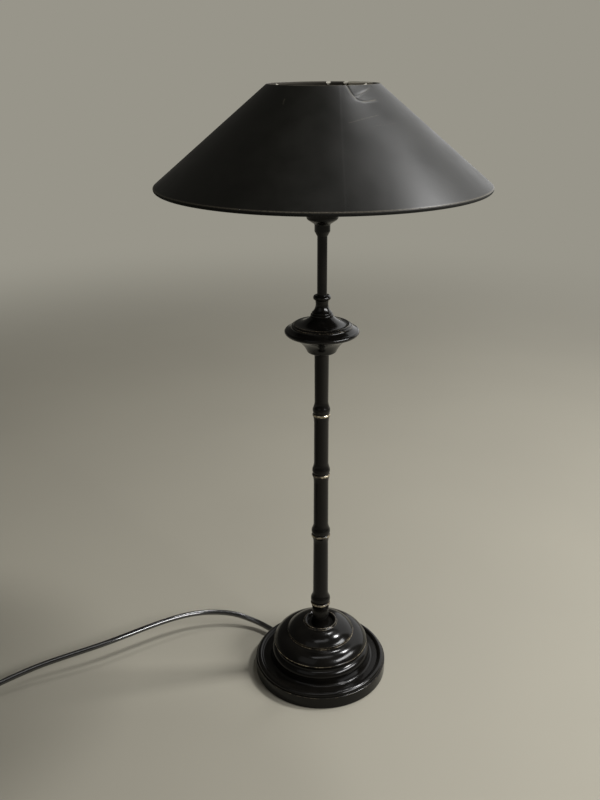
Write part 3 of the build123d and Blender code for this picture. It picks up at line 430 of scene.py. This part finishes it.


# outlines are (radius, height) in mm, rings of rubbed edge, partly painted glint, (radius, height, width,
# amount)
footShell = {
    "stands": ["base_foot"],
    "outline": [(74.6, 0.6), (75.0, 1.0), (75.0, 13.4), ((74.9, 14.0), (74.3, 14.4)), (73.4, 14.4),
                ((73.2, 16.6), (71.6, 18.2)), ((69.4, 18.6), (67.0, 16.9)), (66.3, 16.5),
                (60.4, 16.6), ((58.3, 17.2), (57.2, 19.4)), (56.8, 24.2), (46.0, 24.2), (46.0, 22.2),
                (54.6, 22.2), (58.4, 17.0), (65.5, 13.9), (71.5, 12.0), (71.5, 3.0), (73.4, 3.0),
                (73.4, 0.6)],
    "wornAndLit": [(74.8, 14.0, 0.5, 0.5), (66.7, 16.7, 0.5, 0.4), (75.0, 0.9, 0.5, 0.3)],
}
domeShell = {
    "stands": ["base_dome"],
    "outline": [(46.0, 24.2), (55.0, 24.2), ((55.8, 25.0), (55.7, 26.0)), ((54.5, 28.9), (52.2, 31.2)),
                (51.6, 31.5), ((51.3, 34.4), (53.0, 37.6)), (53.4, 38.2), ((53.3, 38.8), (52.9, 39.2)),
                ((47.0, 46.5), (37.9, 49.8)), (37.4, 50.0), (37.4, 51.6), ((37.2, 52.4), (36.7, 52.8)),
                ((28.8, 59.1), (19.2, 62.0)), (18.8, 62.4), ((17.5, 63.6), (15.9, 62.8)),
                (14.8, 60.6), (14.8, 60.0), (5.3, 60.0), (5.3, 57.8), (17.0, 57.8), (27.6, 56.2),
                (34.4, 50.6), (36.6, 47.8), (46.0, 44.0), (50.6, 38.4), (48.9, 35.0), (49.3, 31.0),
                (52.2, 26.6), (46.0, 26.6)],
    # the rings at the tiers' edges and the collar's lip are partly painted glints, where these edges catch
    # the light
    "wornAndLit": [(53.4, 38.5, 0.5, 0.86), (37.6, 49.9, 0.4, 0.85), (37.3, 52.0, 0.35, 0.7),
             (17.8, 63.5, 0.6, 0.6), (19.2, 62.0, 0.4, 0.6)],
}


# a section of cane, mm: how each end is shaped, as steps from its node's radius or from the cane's own
cane = {
    "groove": 0.55, "flare": 12.0,  # how deep the grooves are, how far from an end the cane is straight
    "bulgeHalf": 2.8, "bulgeBend": 0.27, "bulgeSag": 0.4,  # over a lower groove
    "collar": (1.1, 0.8), "collarCove": (0.3, 3.6), "collarEnd": 8.0,  # where there is no lower groove
    "ringDrop": 2.8, "ringHalf": 1.5, "ringFoot": 0.5, "ringRise": 0.15,  # under an upper groove
    "ringShoulder": (1.0, 0.4), "ringBend": 0.3, "ringReach": 4.4, "lip": (0.35, 0.5),
}


def caneOutline(low, high, lowNode, highNode, lowRadius, highRadius):
    # a bulge over the lower groove or a plain collar, the cane, and the ring under the upper groove
    groove = cane["groove"]
    outline = [(rodRoom, low)]
    if lowNode:
        top, flare = low + 2 * cane["bulgeHalf"], low + cane["flare"]
        bend = (lowRadius + cane["bulgeBend"] * (lowNode - lowRadius), (top + flare) / 2 - cane["bulgeSag"])
        outline += [(lowNode - groove, low), ((lowNode, low + cane["bulgeHalf"]), (lowNode - groove, top)),
                    (bend, (lowRadius, flare))]
    else:
        wide, tall = cane["collar"]
        cove = (lowRadius + cane["collarCove"][0], low + cane["collarCove"][1])
        outline += [(lowRadius + wide, low), (lowRadius + wide, low + tall),
                    (cove, (lowRadius, low + cane["collarEnd"]))]
    if highNode:
        ring = high - cane["ringDrop"]
        foot = (highNode - cane["ringFoot"], ring - cane["ringHalf"])
        bend = (highRadius + cane["ringBend"] * (highNode - highRadius), ring - cane["ringReach"])
        shoulderIn, shoulderUp = cane["ringShoulder"]
        shoulder = (highNode - shoulderIn, ring + cane["ringHalf"] + shoulderUp)
        lip = (highNode - groove - cane["lip"][0], high - cane["lip"][1])
        outline += [(highRadius, high - cane["flare"]), (bend, foot),
                    ((highNode + cane["ringRise"], ring), shoulder), lip, (highNode - groove, high)]
    else:
        outline.append((highRadius, high))
    return outline + [(rodRoom, high)]


# the sections from the foot up; rubbed rings, the upper one partly a painted glint on the node's ring: (step
# from the node's radius, step from the end, width, amount)
stem = {
    "ends": [60.0, 90.7, 179.3, 253.5, 322.9, 386.4],
    "nodes": [None, 10.95, 10.2, 9.5, 9.1, None],
    "lowRadii": [9.3, 8.5, 8.05, 7.65, 7.1],
    "highRadii": [9.25, 8.15, 7.9, 7.65, 7.35],
    "lowWorn": (0.0, 2.2, 0.8, 0.3), "highWornAndGlint": (-0.2, -2.3, 1.5, 0.86),
    "names": ["stemStub", "bambooFourth", "bambooThird", "bambooSecond", "bambooFirst"],
    "stands": ["stem_stub", "bamboo_4", "bamboo_3", "bamboo_2", "bamboo_1"],
}
knopBell = {
    "stands": ["knop_bell"],
    "outline": [(rodRoom, 386.4), (7.6, 386.4), (7.6, 388.6), (11.9, 388.8),
                ((14.2, 389.3), (15.2, 390.8)), ((19.4, 397.4), (25.0, 402.7)), (rodRoom, 402.7)],
    "wornAndLit": [(14.4, 389.5, 0.5, 0.35)],
}
knopLower = {
    "stands": ["knop_lower"],
    "outline": [(rodRoom, 402.7), (25.0, 402.7), (33.2, 407.4), ((36.5, 408.7), (37.4, 410.5)),
                (36.1, 410.5), (33.0, 408.9), (24.6, 404.0), (rodRoom, 404.0)],
    "wornAndLit": [(37.4, 410.5, 0.5, 0.3)],
}
knopUpper = {
    "stands": ["knop_upper"],
    "outline": [(36.1, 410.5), (37.4, 410.5), ((36.9, 411.9), (35.0, 412.9)),
                ((33.2, 413.8), (30.9, 415.2)), ((30.1, 416.9), (28.8, 417.3)),
                ((27.8, 418.4), (26.2, 418.6)), ((17.0, 421.6), (11.4, 426.2)),
                (rodRoom, 426.2), (rodRoom, 424.9), (10.9, 424.9), (17.0, 420.2), (26.0, 417.0),
                (30.0, 414.0), (34.6, 411.4)],
    "wornAndLit": [(29.8, 416.6, 0.9, 0.68), (27.4, 418.4, 0.8, 0.62), (37.2, 411.2, 0.5, 0.2)],
}
neckVase = {
    "stands": ["neck_vase"],
    "outline": [(4.95, 426.2), (10.9, 426.2), ((11.4, 427.4), (10.7, 428.7)), (9.9, 429.0),
                ((10.1, 429.9), (9.2, 430.9)), ((7.0, 434.8), (6.2, 438.8)), (6.6, 442.5),
                ((8.8, 445.1), (6.5, 447.7)), (4.95, 447.7)],
    "wornAndLit": [(11.3, 427.4, 0.5, 0.3), (8.7, 445.6, 0.6, 0.3)],
}
upperTube = {
    "stands": ["upper_tube"], "slot": "black_tube",
    "outline": [(3.6, 437.4), (4.9, 437.4), (4.9, 512.5), (3.6, 512.5)],
    "wornAndLit": [],
}

brassPiece("footShell", footShell)
brassPiece("domeShell", domeShell)
for i, name in enumerate(stem["names"]):
    low, high = stem["ends"][i], stem["ends"][i + 1]
    lowNode, highNode = stem["nodes"][i], stem["nodes"][i + 1]
    wornAndLit = []
    if lowNode:
        out, up, width, amount = stem["lowWorn"]
        wornAndLit.append((lowNode + out, low + up, width, amount))
    if highNode:
        out, up, width, amount = stem["highWornAndGlint"]
        wornAndLit.append((highNode + out, high + up, width, amount))
    brassPiece(name, {
        "stands": [stem["stands"][i]], "wornAndLit": wornAndLit,
        "outline": caneOutline(low, high, lowNode, highNode, stem["lowRadii"][i], stem["highRadii"][i]),
    }, turnedSteps["slim"])
brassPiece("knopBell", knopBell, turnedSteps["slim"])
brassPiece("knopLower", knopLower)
brassPiece("knopUpper", knopUpper)
brassPiece("neckVase", neckVase, turnedSteps["slim"])
brassPiece("upperTube", upperTube, turnedSteps["slim"])
print("brass pieces made")

# the shade: a card cone folded over a wire at each edge; mm, angles in degrees round the stem
shade = {
    "lowWire": (154.3, 553.4), "highWire": (49.3, 640.05), "wire": 1.2, "gap": 0.15, "card": 0.8,
    "fold": 5.0, "slack": 0.1, "steps": 360,
    "fineRows": 44, "fineStep": 1.1, "wideRows": 22, "lastRows": (1.6, 0.8, 0.0),
    # rubbed rings at the two rolls, the lower one partly a painted highlight along the roll's lit top, and
    # where the card counts as turned in
    "wornAndLit": [(156.0, 554.8, 0.9, 0.5), (50.6, 641.8, 0.7, 0.5)],
    "insideOf": 1.3, "rollStart": 0.5, "rollUnder": 1.2,
    # knock near the top: folds in the card as (angle, distance down the slope), the hollow between them,
    # and how far it all reaches (from, to, down)
    "folds": [[(-71.0, -2.0), (-69.5, 9.6), (-67.5, 16.7)], [(-67.5, 16.7), (-62.0, 19.9), (-49.5, 18.3)],
              [(-67.0, 12.8), (-59.5, 9.6), (-42.5, 3.3)]],
    "foldWidth": 0.9, "foldDepth": 0.3,
    "hollow": (-57.0, 12.5), "hollowHalf": (11.0, 6.0), "hollowDepth": 0.55,
    "knockReach": (-95, -30, 30),
    # pale lines: three rubbed ones, then three painted highlights along the folds' ridges; (points, width,
    # amount), and their reach in angle and down the slope
    "scuffsAndFoldHighlights": [([(-79.5, 43.5), (-70.5, 39.6), (-56.5, 35.6)], 0.8, 0.42),
               ([(-66.0, 48.0), (-48.0, 46.0)], 0.8, 0.3),
               ([(-124.0, 16.7), (-123.0, 22.0)], 1.2, 0.35),
               ([(-71.0, 0.5), (-69.5, 9.6), (-67.5, 16.7)], 0.8, 0.5),
               ([(-64.0, 19.6), (-57.0, 19.2), (-49.5, 18.0)], 0.8, 0.6),
               ([(-65.0, 13.0), (-59.5, 9.6), (-46.0, 4.0)], 1.8, 0.3)],
    "lineReach": (4, 60),
    # where the top edge is torn: (angle, half width, depth)
    "chips": [(80.5, 1.1, 3.6), (60.5, 1.2, 3.6)], "chipDown": 4,
    # where what is turned in at the top is painted pale board, a painted sheen where light falls on it at
    # the back right: (from, to, amount), easing in and out
    "paintedSheen": (10.0, 60.0, 2.4), "paintedSheenEase": (14, 5), "paintedSheenDown": 9, "paintedSheenDepth": 5,
    # the lap of the card: its angles at the top edge and at the bottom one, and the way it faces
    "lap": (-77.0, -87.0), "lapFace": (0, -0.64, 0.77), "lapStep": 0.05, "lapEase": 0.8,
}


def cardSpot(corner, along, away):
    low, high = Vector(shade["lowWire"]), Vector(shade["highWire"])
    down = (low - high).normalized()
    return tuple(Vector(corner) + down * along + Vector((-down.y, down.x)) * away)


def shadeOutline():
    low, high = shade["lowWire"], shade["highWire"]
    slope = math.dist(low, high)
    inner = shade["wire"] + shade["gap"]
    outer = inner + shade["card"]
    under = -inner - shade["slack"]
    # rows of points down the slope: close together where the card is knocked, wider below
    rows = [shade["fineStep"] * i for i in range(shade["fineRows"])]
    rest = slope - shade["fineStep"] * shade["fineRows"]
    rows += [slope - rest * (1 - i / shade["wideRows"]) for i in range(shade["wideRows"])]
    rows += [slope - up for up in shade["lastRows"]]
    lowRoll = [
        (cardSpot(low, outer, 0), cardSpot(low, 0, -outer)),
        cardSpot(low, -shade["fold"], under), cardSpot(low, -shade["fold"], under + shade["card"]),
        cardSpot(low, 0, -inner), (cardSpot(low, inner, 0), cardSpot(low, 0, inner)),
    ]
    # the inner turn of the top roll; its outer side closes straight to the first row
    highRoll = [
        (cardSpot(high, -inner, 0), cardSpot(high, 0, -inner)),
        cardSpot(high, shade["fold"], under + shade["card"]), cardSpot(high, shade["fold"], under),
        cardSpot(high, 0, -outer),
    ]
    return ([cardSpot(high, d, outer) for d in rows] + lowRoll
            + [cardSpot(high, d, inner) for d in rows[-2::-1]] + highRoll)


def unrolled(angle, down):
    # a place on the card laid flat: mm round the cone at that height, mm down the slope
    low, high = shade["lowWire"], shade["highWire"]
    radius = high[0] + (low[0] - high[0]) * max(0, down) / math.dist(low, high)
    return Vector((math.radians(angle) * radius, down))


def lineNearness(spot, line, width):
    angle, down = spot
    nearest = math.inf
    for start, end in zip(line, line[1:]):
        here = unrolled(angle, down)
        # both ends are taken at this height's radius, so that distances hold near the spot
        a = Vector((unrolled(start[0], down).x, start[1]))
        b = Vector((unrolled(end[0], down).x, end[1]))
        share = max(0, min(1, (here - a).dot(b - a) / (b - a).length_squared))
        nearest = min(nearest, (here - a.lerp(b, share)).length)
    return math.exp(-(nearest / width) ** 2)


def knockShade(bm):
    high = Vector(shade["highWire"])
    down = (Vector(shade["lowWire"]) - high).normalized()
    away = Vector((-down.y, down.x))
    slope = math.dist(shade["lowWire"], shade["highWire"])
    knockFrom, knockTo, knockDown = shade["knockReach"]
    past, lineDown = shade["lineReach"]
    sheenFrom, sheenTo, sheenAmount = shade["paintedSheen"]
    sheenIn, sheenOut = shade["paintedSheenEase"]
    wearAndLight = bm.verts.layers.float["edgeWearAndLight"]
    # one on the folded strips and the top roll, half on the lower roll where it faces down
    under = bm.verts.layers.float.new("turnedUnder")
    for vert in bm.verts:
        angle = math.degrees(math.atan2(vert.co.y, vert.co.x))
        radius = math.hypot(vert.co.x, vert.co.y) / mm
        place = Vector((radius, vert.co.z / mm)) - high
        d, out = place.dot(down), place.dot(away)
        push, drop = 0.0, 0.0
        if out < shade["insideOf"] and d < slope - shade["rollStart"]:
            vert[under] = 1.0
        elif d > slope + shade["rollUnder"] or out < 0:
            vert[under] = 0.5
        if knockFrom < angle < knockTo and d < knockDown:
            fold = max(lineNearness((angle, d), line, shade["foldWidth"]) for line in shade["folds"])
            x = (angle - shade["hollow"][0]) / shade["hollowHalf"][0]
            y = (d - shade["hollow"][1]) / shade["hollowHalf"][1]
            push = -shade["foldDepth"] * fold - shade["hollowDepth"] * math.exp(-(x * x + y * y))
        # pale lines on the outside: rubbed marks, and painted highlights along the folds
        if out > 0 and d < lineDown:
            for line, width, amount in shade["scuffsAndFoldHighlights"]:
                angles = [corner[0] for corner in line]
                if min(angles) - past < angle < max(angles) + past:
                    vert[wearAndLight] = max(vert[wearAndLight], amount * lineNearness((angle, d), line, width))
        for chipAngle, half, depth in shade["chips"]:
            across = abs(math.radians(angle - chipAngle)) * radius
            if across < 2 * half and d < shade["chipDown"]:
                near = math.exp(-(across / half) ** 2)
                drop += depth * near
                vert[wearAndLight] = max(vert[wearAndLight], near)
        # painted sheen: the turned-in top edge at the back right in the board's pale tone
        if sheenFrom < angle < sheenTo and d < shade["paintedSheenDown"] and out < shade["insideOf"]:
            fade = min(1, (angle - sheenFrom) / sheenIn, (sheenTo - angle) / sheenOut)
            sunk = max(0, d) / shade["paintedSheenDepth"]
            vert[wearAndLight] = max(vert[wearAndLight], sheenAmount * fade * math.exp(-sunk ** 2))
        moved = high + down * d + away * (out + push)
        vert.co.x *= moved.x / radius
        vert.co.y *= moved.x / radius
        vert.co.z = (moved.y - drop) * mm


# laminated card: a black satin skin over board, greyed by dust and rubbed, grey board where it is torn, and
# these pale tones also painted as highlights and a sheen; mm
card = {"dark": "#090907", "dusty": "#14130F", "scuffedAndLit": "#5C564A", "board": "#8B867A",
        "turnedIn": "#25221C", "turnedRough": 0.9, "patch": 34, "fibre": 0.8, "fibreDepth": 0.03,
        "rough": (0.32, 0.42)}


def satinCard():
    material, tree, shader, place = newMaterial("satinCard")
    patches = addNode(tree, "ShaderNodeTexNoise",
                      {"Scale": 1 / (card["patch"] * mm), "Detail": 6.0, "Roughness": 0.6},
                      {"Vector": place})
    fibre = addNode(tree, "ShaderNodeTexNoise", {"Scale": 1 / (card["fibre"] * mm), "Detail": 3.0},
                    {"Vector": place})
    wearAndLight = addNode(tree, "ShaderNodeAttribute", {"attribute_name": "edgeWearAndLight"})
    base = addNode(tree, "ShaderNodeMix",
                   {"data_type": "RGBA", 6: hexColor(card["dark"]), 7: hexColor(card["dusty"])},
                   {0: patches.outputs["Fac"]})
    # light rubbing marks the skin, strong rubbing shows the board; the same mask paints the highlights and
    # the sheen
    reach = addNode(tree, "ShaderNodeMath", {"operation": "MULTIPLY"},
                    {0: wearAndLight.outputs["Fac"], 1: fibre.outputs["Fac"]})
    thin = addNode(tree, "ShaderNodeMapRange", {"From Min": 0.1, "From Max": 0.45},
                   {"Value": reach.outputs[0]})
    bareAndLit = addNode(tree, "ShaderNodeMapRange", {"From Min": 0.6, "From Max": 0.85},
                   {"Value": reach.outputs[0]})
    scuffedAndLit = addNode(tree, "ShaderNodeMix", {"data_type": "RGBA", 7: hexColor(card["scuffedAndLit"])},
                      {0: thin.outputs["Result"], 6: base.outputs[2]})
    smooth, dull = card["rough"]
    rough = addNode(tree, "ShaderNodeMapRange",
                    {"From Min": 0.3, "From Max": 0.7, "To Min": smooth, "To Max": dull},
                    {"Value": patches.outputs["Fac"]})
    # what is turned in is brown and dull, and the lower roll's underside is dull but black
    under = addNode(tree, "ShaderNodeAttribute", {"attribute_name": "turnedUnder"})
    inside = addNode(tree, "ShaderNodeMapRange", {"From Min": 0.5, "From Max": 0.9},
                     {"Value": under.outputs["Fac"]})
    folded = addNode(tree, "ShaderNodeMapRange", {"From Min": 0.0, "From Max": 0.5},
                     {"Value": under.outputs["Fac"]})
    browned = addNode(tree, "ShaderNodeMix", {"data_type": "RGBA", 7: hexColor(card["turnedIn"])},
                      {0: inside.outputs["Result"], 6: scuffedAndLit.outputs[2]})
    tones = addNode(tree, "ShaderNodeMix", {"data_type": "RGBA", 7: hexColor(card["board"])},
                    {0: bareAndLit.outputs["Result"], 6: browned.outputs[2]})
    matt = addNode(tree, "ShaderNodeMix", {3: card["turnedRough"]},
                   {0: folded.outputs["Result"], 2: rough.outputs["Result"]})
    # the lap is a small step across a plane through the shade's front
    ends = []
    for (radius, height), angle in zip((shade["highWire"], shade["lowWire"]), shade["lap"]):
        turn = math.radians(angle)
        ends.append(Vector((radius * math.cos(turn), radius * math.sin(turn), height)) * mm)
    top, bottom = ends
    across = (bottom - top).cross(Vector(shade["lapFace"])).normalized()
    middle, ease = across.dot(top), shade["lapEase"] * mm
    side = addNode(tree, "ShaderNodeVectorMath", {"operation": "DOT_PRODUCT", 1: across}, {0: place})
    lap = addNode(tree, "ShaderNodeMapRange", {"From Min": middle - ease, "From Max": middle + ease},
                  {"Value": side.outputs["Value"]})
    front = addNode(tree, "ShaderNodeSeparateXYZ", {}, {0: place})
    facing = addNode(tree, "ShaderNodeMath", {"operation": "LESS_THAN", 1: 0.0}, {0: front.outputs["Y"]})
    step = addNode(tree, "ShaderNodeMath", {"operation": "MULTIPLY"},
                   {0: lap.outputs["Result"], 1: facing.outputs[0]})
    lapBump = addNode(tree, "ShaderNodeBump", {"Distance": shade["lapStep"] * mm},
                      {"Height": step.outputs[0]})
    bump = addNode(tree, "ShaderNodeBump", {"Distance": card["fibreDepth"] * mm},
                   {"Height": fibre.outputs["Fac"], "Normal": lapBump.outputs["Normal"]})
    tree.links.new(tones.outputs[2], shader.inputs["Base Color"])
    tree.links.new(matt.outputs[0], shader.inputs["Roughness"])
    tree.links.new(bump.outputs["Normal"], shader.inputs["Normal"])
    shader.inputs["IOR"].default_value = 1.5
    shader.inputs["Specular IOR Level"].default_value = 0.2
    return material


materials["satinCard"] = satinCard()
bm = turnedSolid(shadeOutline(), shade["steps"])
paintWearAndLight(bm, shade["wornAndLit"])
knockShade(bm)
meshPiece("shadeCone", bm, "shade", materials["satinCard"], ["shade_cone"])
print("shade made")

# the two springs under the contact plungers, which shorten as a bulb is pressed in; mm
plungerSpring = {"wire": 0.25, "turns": 4, "perTurn": 24, "sides": 10, "travel": 3.0, "sharp": 60}


def coilSpring(bm, side, low, high):
    wire = plungerSpring["wire"] * mm
    coilRadius = (high.y - low.y) / 2 - wire
    centerX = side * (high.x - wire - coilRadius)
    upright = Matrix.Rotation(math.pi / 2, 4, "X")
    start = Matrix.Translation((centerX + coilRadius, 0, low.z + wire)) @ upright
    end = bmesh.ops.create_circle(bm, cap_ends=True, segments=plungerSpring["sides"], radius=wire,
                                  matrix=start)
    edges = {edge for vert in end["verts"] for edge in vert.link_edges}
    faces = {face for vert in end["verts"] for face in vert.link_faces}
    steps = plungerSpring["turns"] * plungerSpring["perTurn"]
    rise = (high.z - low.z - 2 * wire) / steps
    bmesh.ops.spin(bm, geom=end["verts"] + list(edges) + list(faces), cent=(centerX, 0, 0), axis=(0, 0, 1),
                   dvec=(0, 0, rise), angle=plungerSpring["turns"] * math.tau, steps=steps,
                   use_duplicate=False)


low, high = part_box("plunger_springs")
bm = bmesh.new()
for side in (-1, 1):
    coilSpring(bm, side, low, high)
bmesh.ops.recalc_face_normals(bm, faces=bm.faces)
springs = meshPiece("plungerSprings", bm, "lamp", materials["springWire"],
                    ["plunger_springs"], plungerSpring["sharp"])
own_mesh(springs)
print("springs made")

# a pale floor of two close tones, in patches to the metre, and the fade's start and end in metres
studio = {
    "floor": ("#837F73", "#8A8679"), "patches": 3.0, "rough": 0.8, "floorSize": 60,
    "far": "#98958A", "fade": (0.8, 2.5), "world": "#BDBAB0", "worldStrength": 0.16,
}
bpy.ops.mesh.primitive_plane_add(size=studio["floorSize"])
floor = bpy.context.object
floor.name = "floor"
material, tree, shader, place = newMaterial("paleFloor")
patches = addNode(tree, "ShaderNodeTexNoise", {"Scale": studio["patches"], "Detail": 2.0}, {"Vector": place})
dark, pale = (hexColor(tone) for tone in studio["floor"])
tones = addNode(tree, "ShaderNodeMix", {"data_type": "RGBA", 6: dark, 7: pale}, {0: patches.outputs["Fac"]})
tree.links.new(tones.outputs[2], shader.inputs["Base Color"])
shader.inputs["Roughness"].default_value = studio["rough"]


def seenDirectly(tree):
    # 1 for a ray from the camera, or one that a glossy or a clear surface sends on
    path = addNode(tree, "ShaderNodeLightPath")
    clear = addNode(tree, "ShaderNodeMath", {"operation": "MAXIMUM"},
                    {0: path.outputs["Is Glossy Ray"], 1: path.outputs["Is Transmission Ray"]})
    return addNode(tree, "ShaderNodeMath", {"operation": "MAXIMUM"},
                   {0: path.outputs["Is Camera Ray"], 1: clear.outputs[0]}).outputs[0]


# away from the lamp the floor fades to one plain tone, which the world goes on with, so no edge shows
near, far = studio["fade"]
away = addNode(tree, "ShaderNodeVectorMath", {"operation": "LENGTH"}, {0: place})
fade = addNode(tree, "ShaderNodeMapRange",
               {"interpolation_type": "SMOOTHERSTEP", "From Min": near, "From Max": far},
               {"Value": away.outputs["Value"]})
plain = addNode(tree, "ShaderNodeEmission", {"Color": hexColor(studio["far"])})
share = addNode(tree, "ShaderNodeMath", {"operation": "MULTIPLY"},
                {0: fade.outputs["Result"], 1: seenDirectly(tree)})
faded = addNode(tree, "ShaderNodeMixShader", {},
                {0: share.outputs[0], 1: shader.outputs[0], 2: plain.outputs[0]})
tree.links.new(faded.outputs[0], tree.nodes["Material Output"].inputs["Surface"])
floor.data.materials.append(material)

world = bpy.data.worlds.new("studio")
bpy.context.scene.world = world
world.use_nodes = True
tree = world.node_tree
lit = tree.nodes["Background"]
lit.inputs["Color"].default_value = hexColor(studio["world"])
lit.inputs["Strength"].default_value = studio["worldStrength"]
seen = addNode(tree, "ShaderNodeBackground", {"Color": hexColor(studio["far"])})
path = addNode(tree, "ShaderNodeLightPath")
mixed = addNode(tree, "ShaderNodeMixShader", {},
                {0: path.outputs["Is Camera Ray"], 1: lit.outputs[0], 2: seen.outputs[0]})
tree.links.new(mixed.outputs[0], tree.nodes["World Output"].inputs["Surface"])

# two small soft boxes high on the right, for the round highlights, and wide ones behind on the right,
# low on the right, overhead and in front on the left, for the long ones; metres and watts
lamps = {
    "sideBox": {"place": (1.05, 0.1, 1.68), "aim": (0, 0, 0.25), "size": (0.21, 0.25), "power": 24},
    "topBox": {"place": (0.46, 0.58, 1.76), "aim": (0, 0, 0.2), "size": (0.13, 0.13), "power": 4.5},
    "backBox": {"place": (1.5, 1.7, 1.25), "aim": (0, 0, 0.5), "size": (2.4, 2.4), "power": 20},
    "wideBox": {"place": (1.35, -0.75, 1.05), "aim": (0, 0, 0.3), "size": (1.4, 0.36), "power": 38},
    "ceilingBox": {"place": (0.05, -0.6, 1.9), "aim": (-0.1, 0, 0.0), "size": (1.1, 0.34), "power": 3.2},
    "frontBox": {"place": (-1.2, -1.6, 1.6), "aim": (0, 0, 0.3), "size": (1.6, 1.6), "power": 2.5},
}
for name, settings in lamps.items():
    data = bpy.data.lights.new(name, "AREA")
    data.shape = "RECTANGLE"
    data.size, data.size_y = settings["size"]
    data.energy = settings["power"]
    light = bpy.data.objects.new(name, data)
    light.location = settings["place"]
    aim = Vector(settings["aim"]) - Vector(settings["place"])
    light.rotation_euler = aim.to_track_quat("-Z", "Y").to_euler()
    bpy.context.scene.collection.objects.link(light)
bpy.context.scene.view_settings.view_transform = "Standard"
print("studio made")
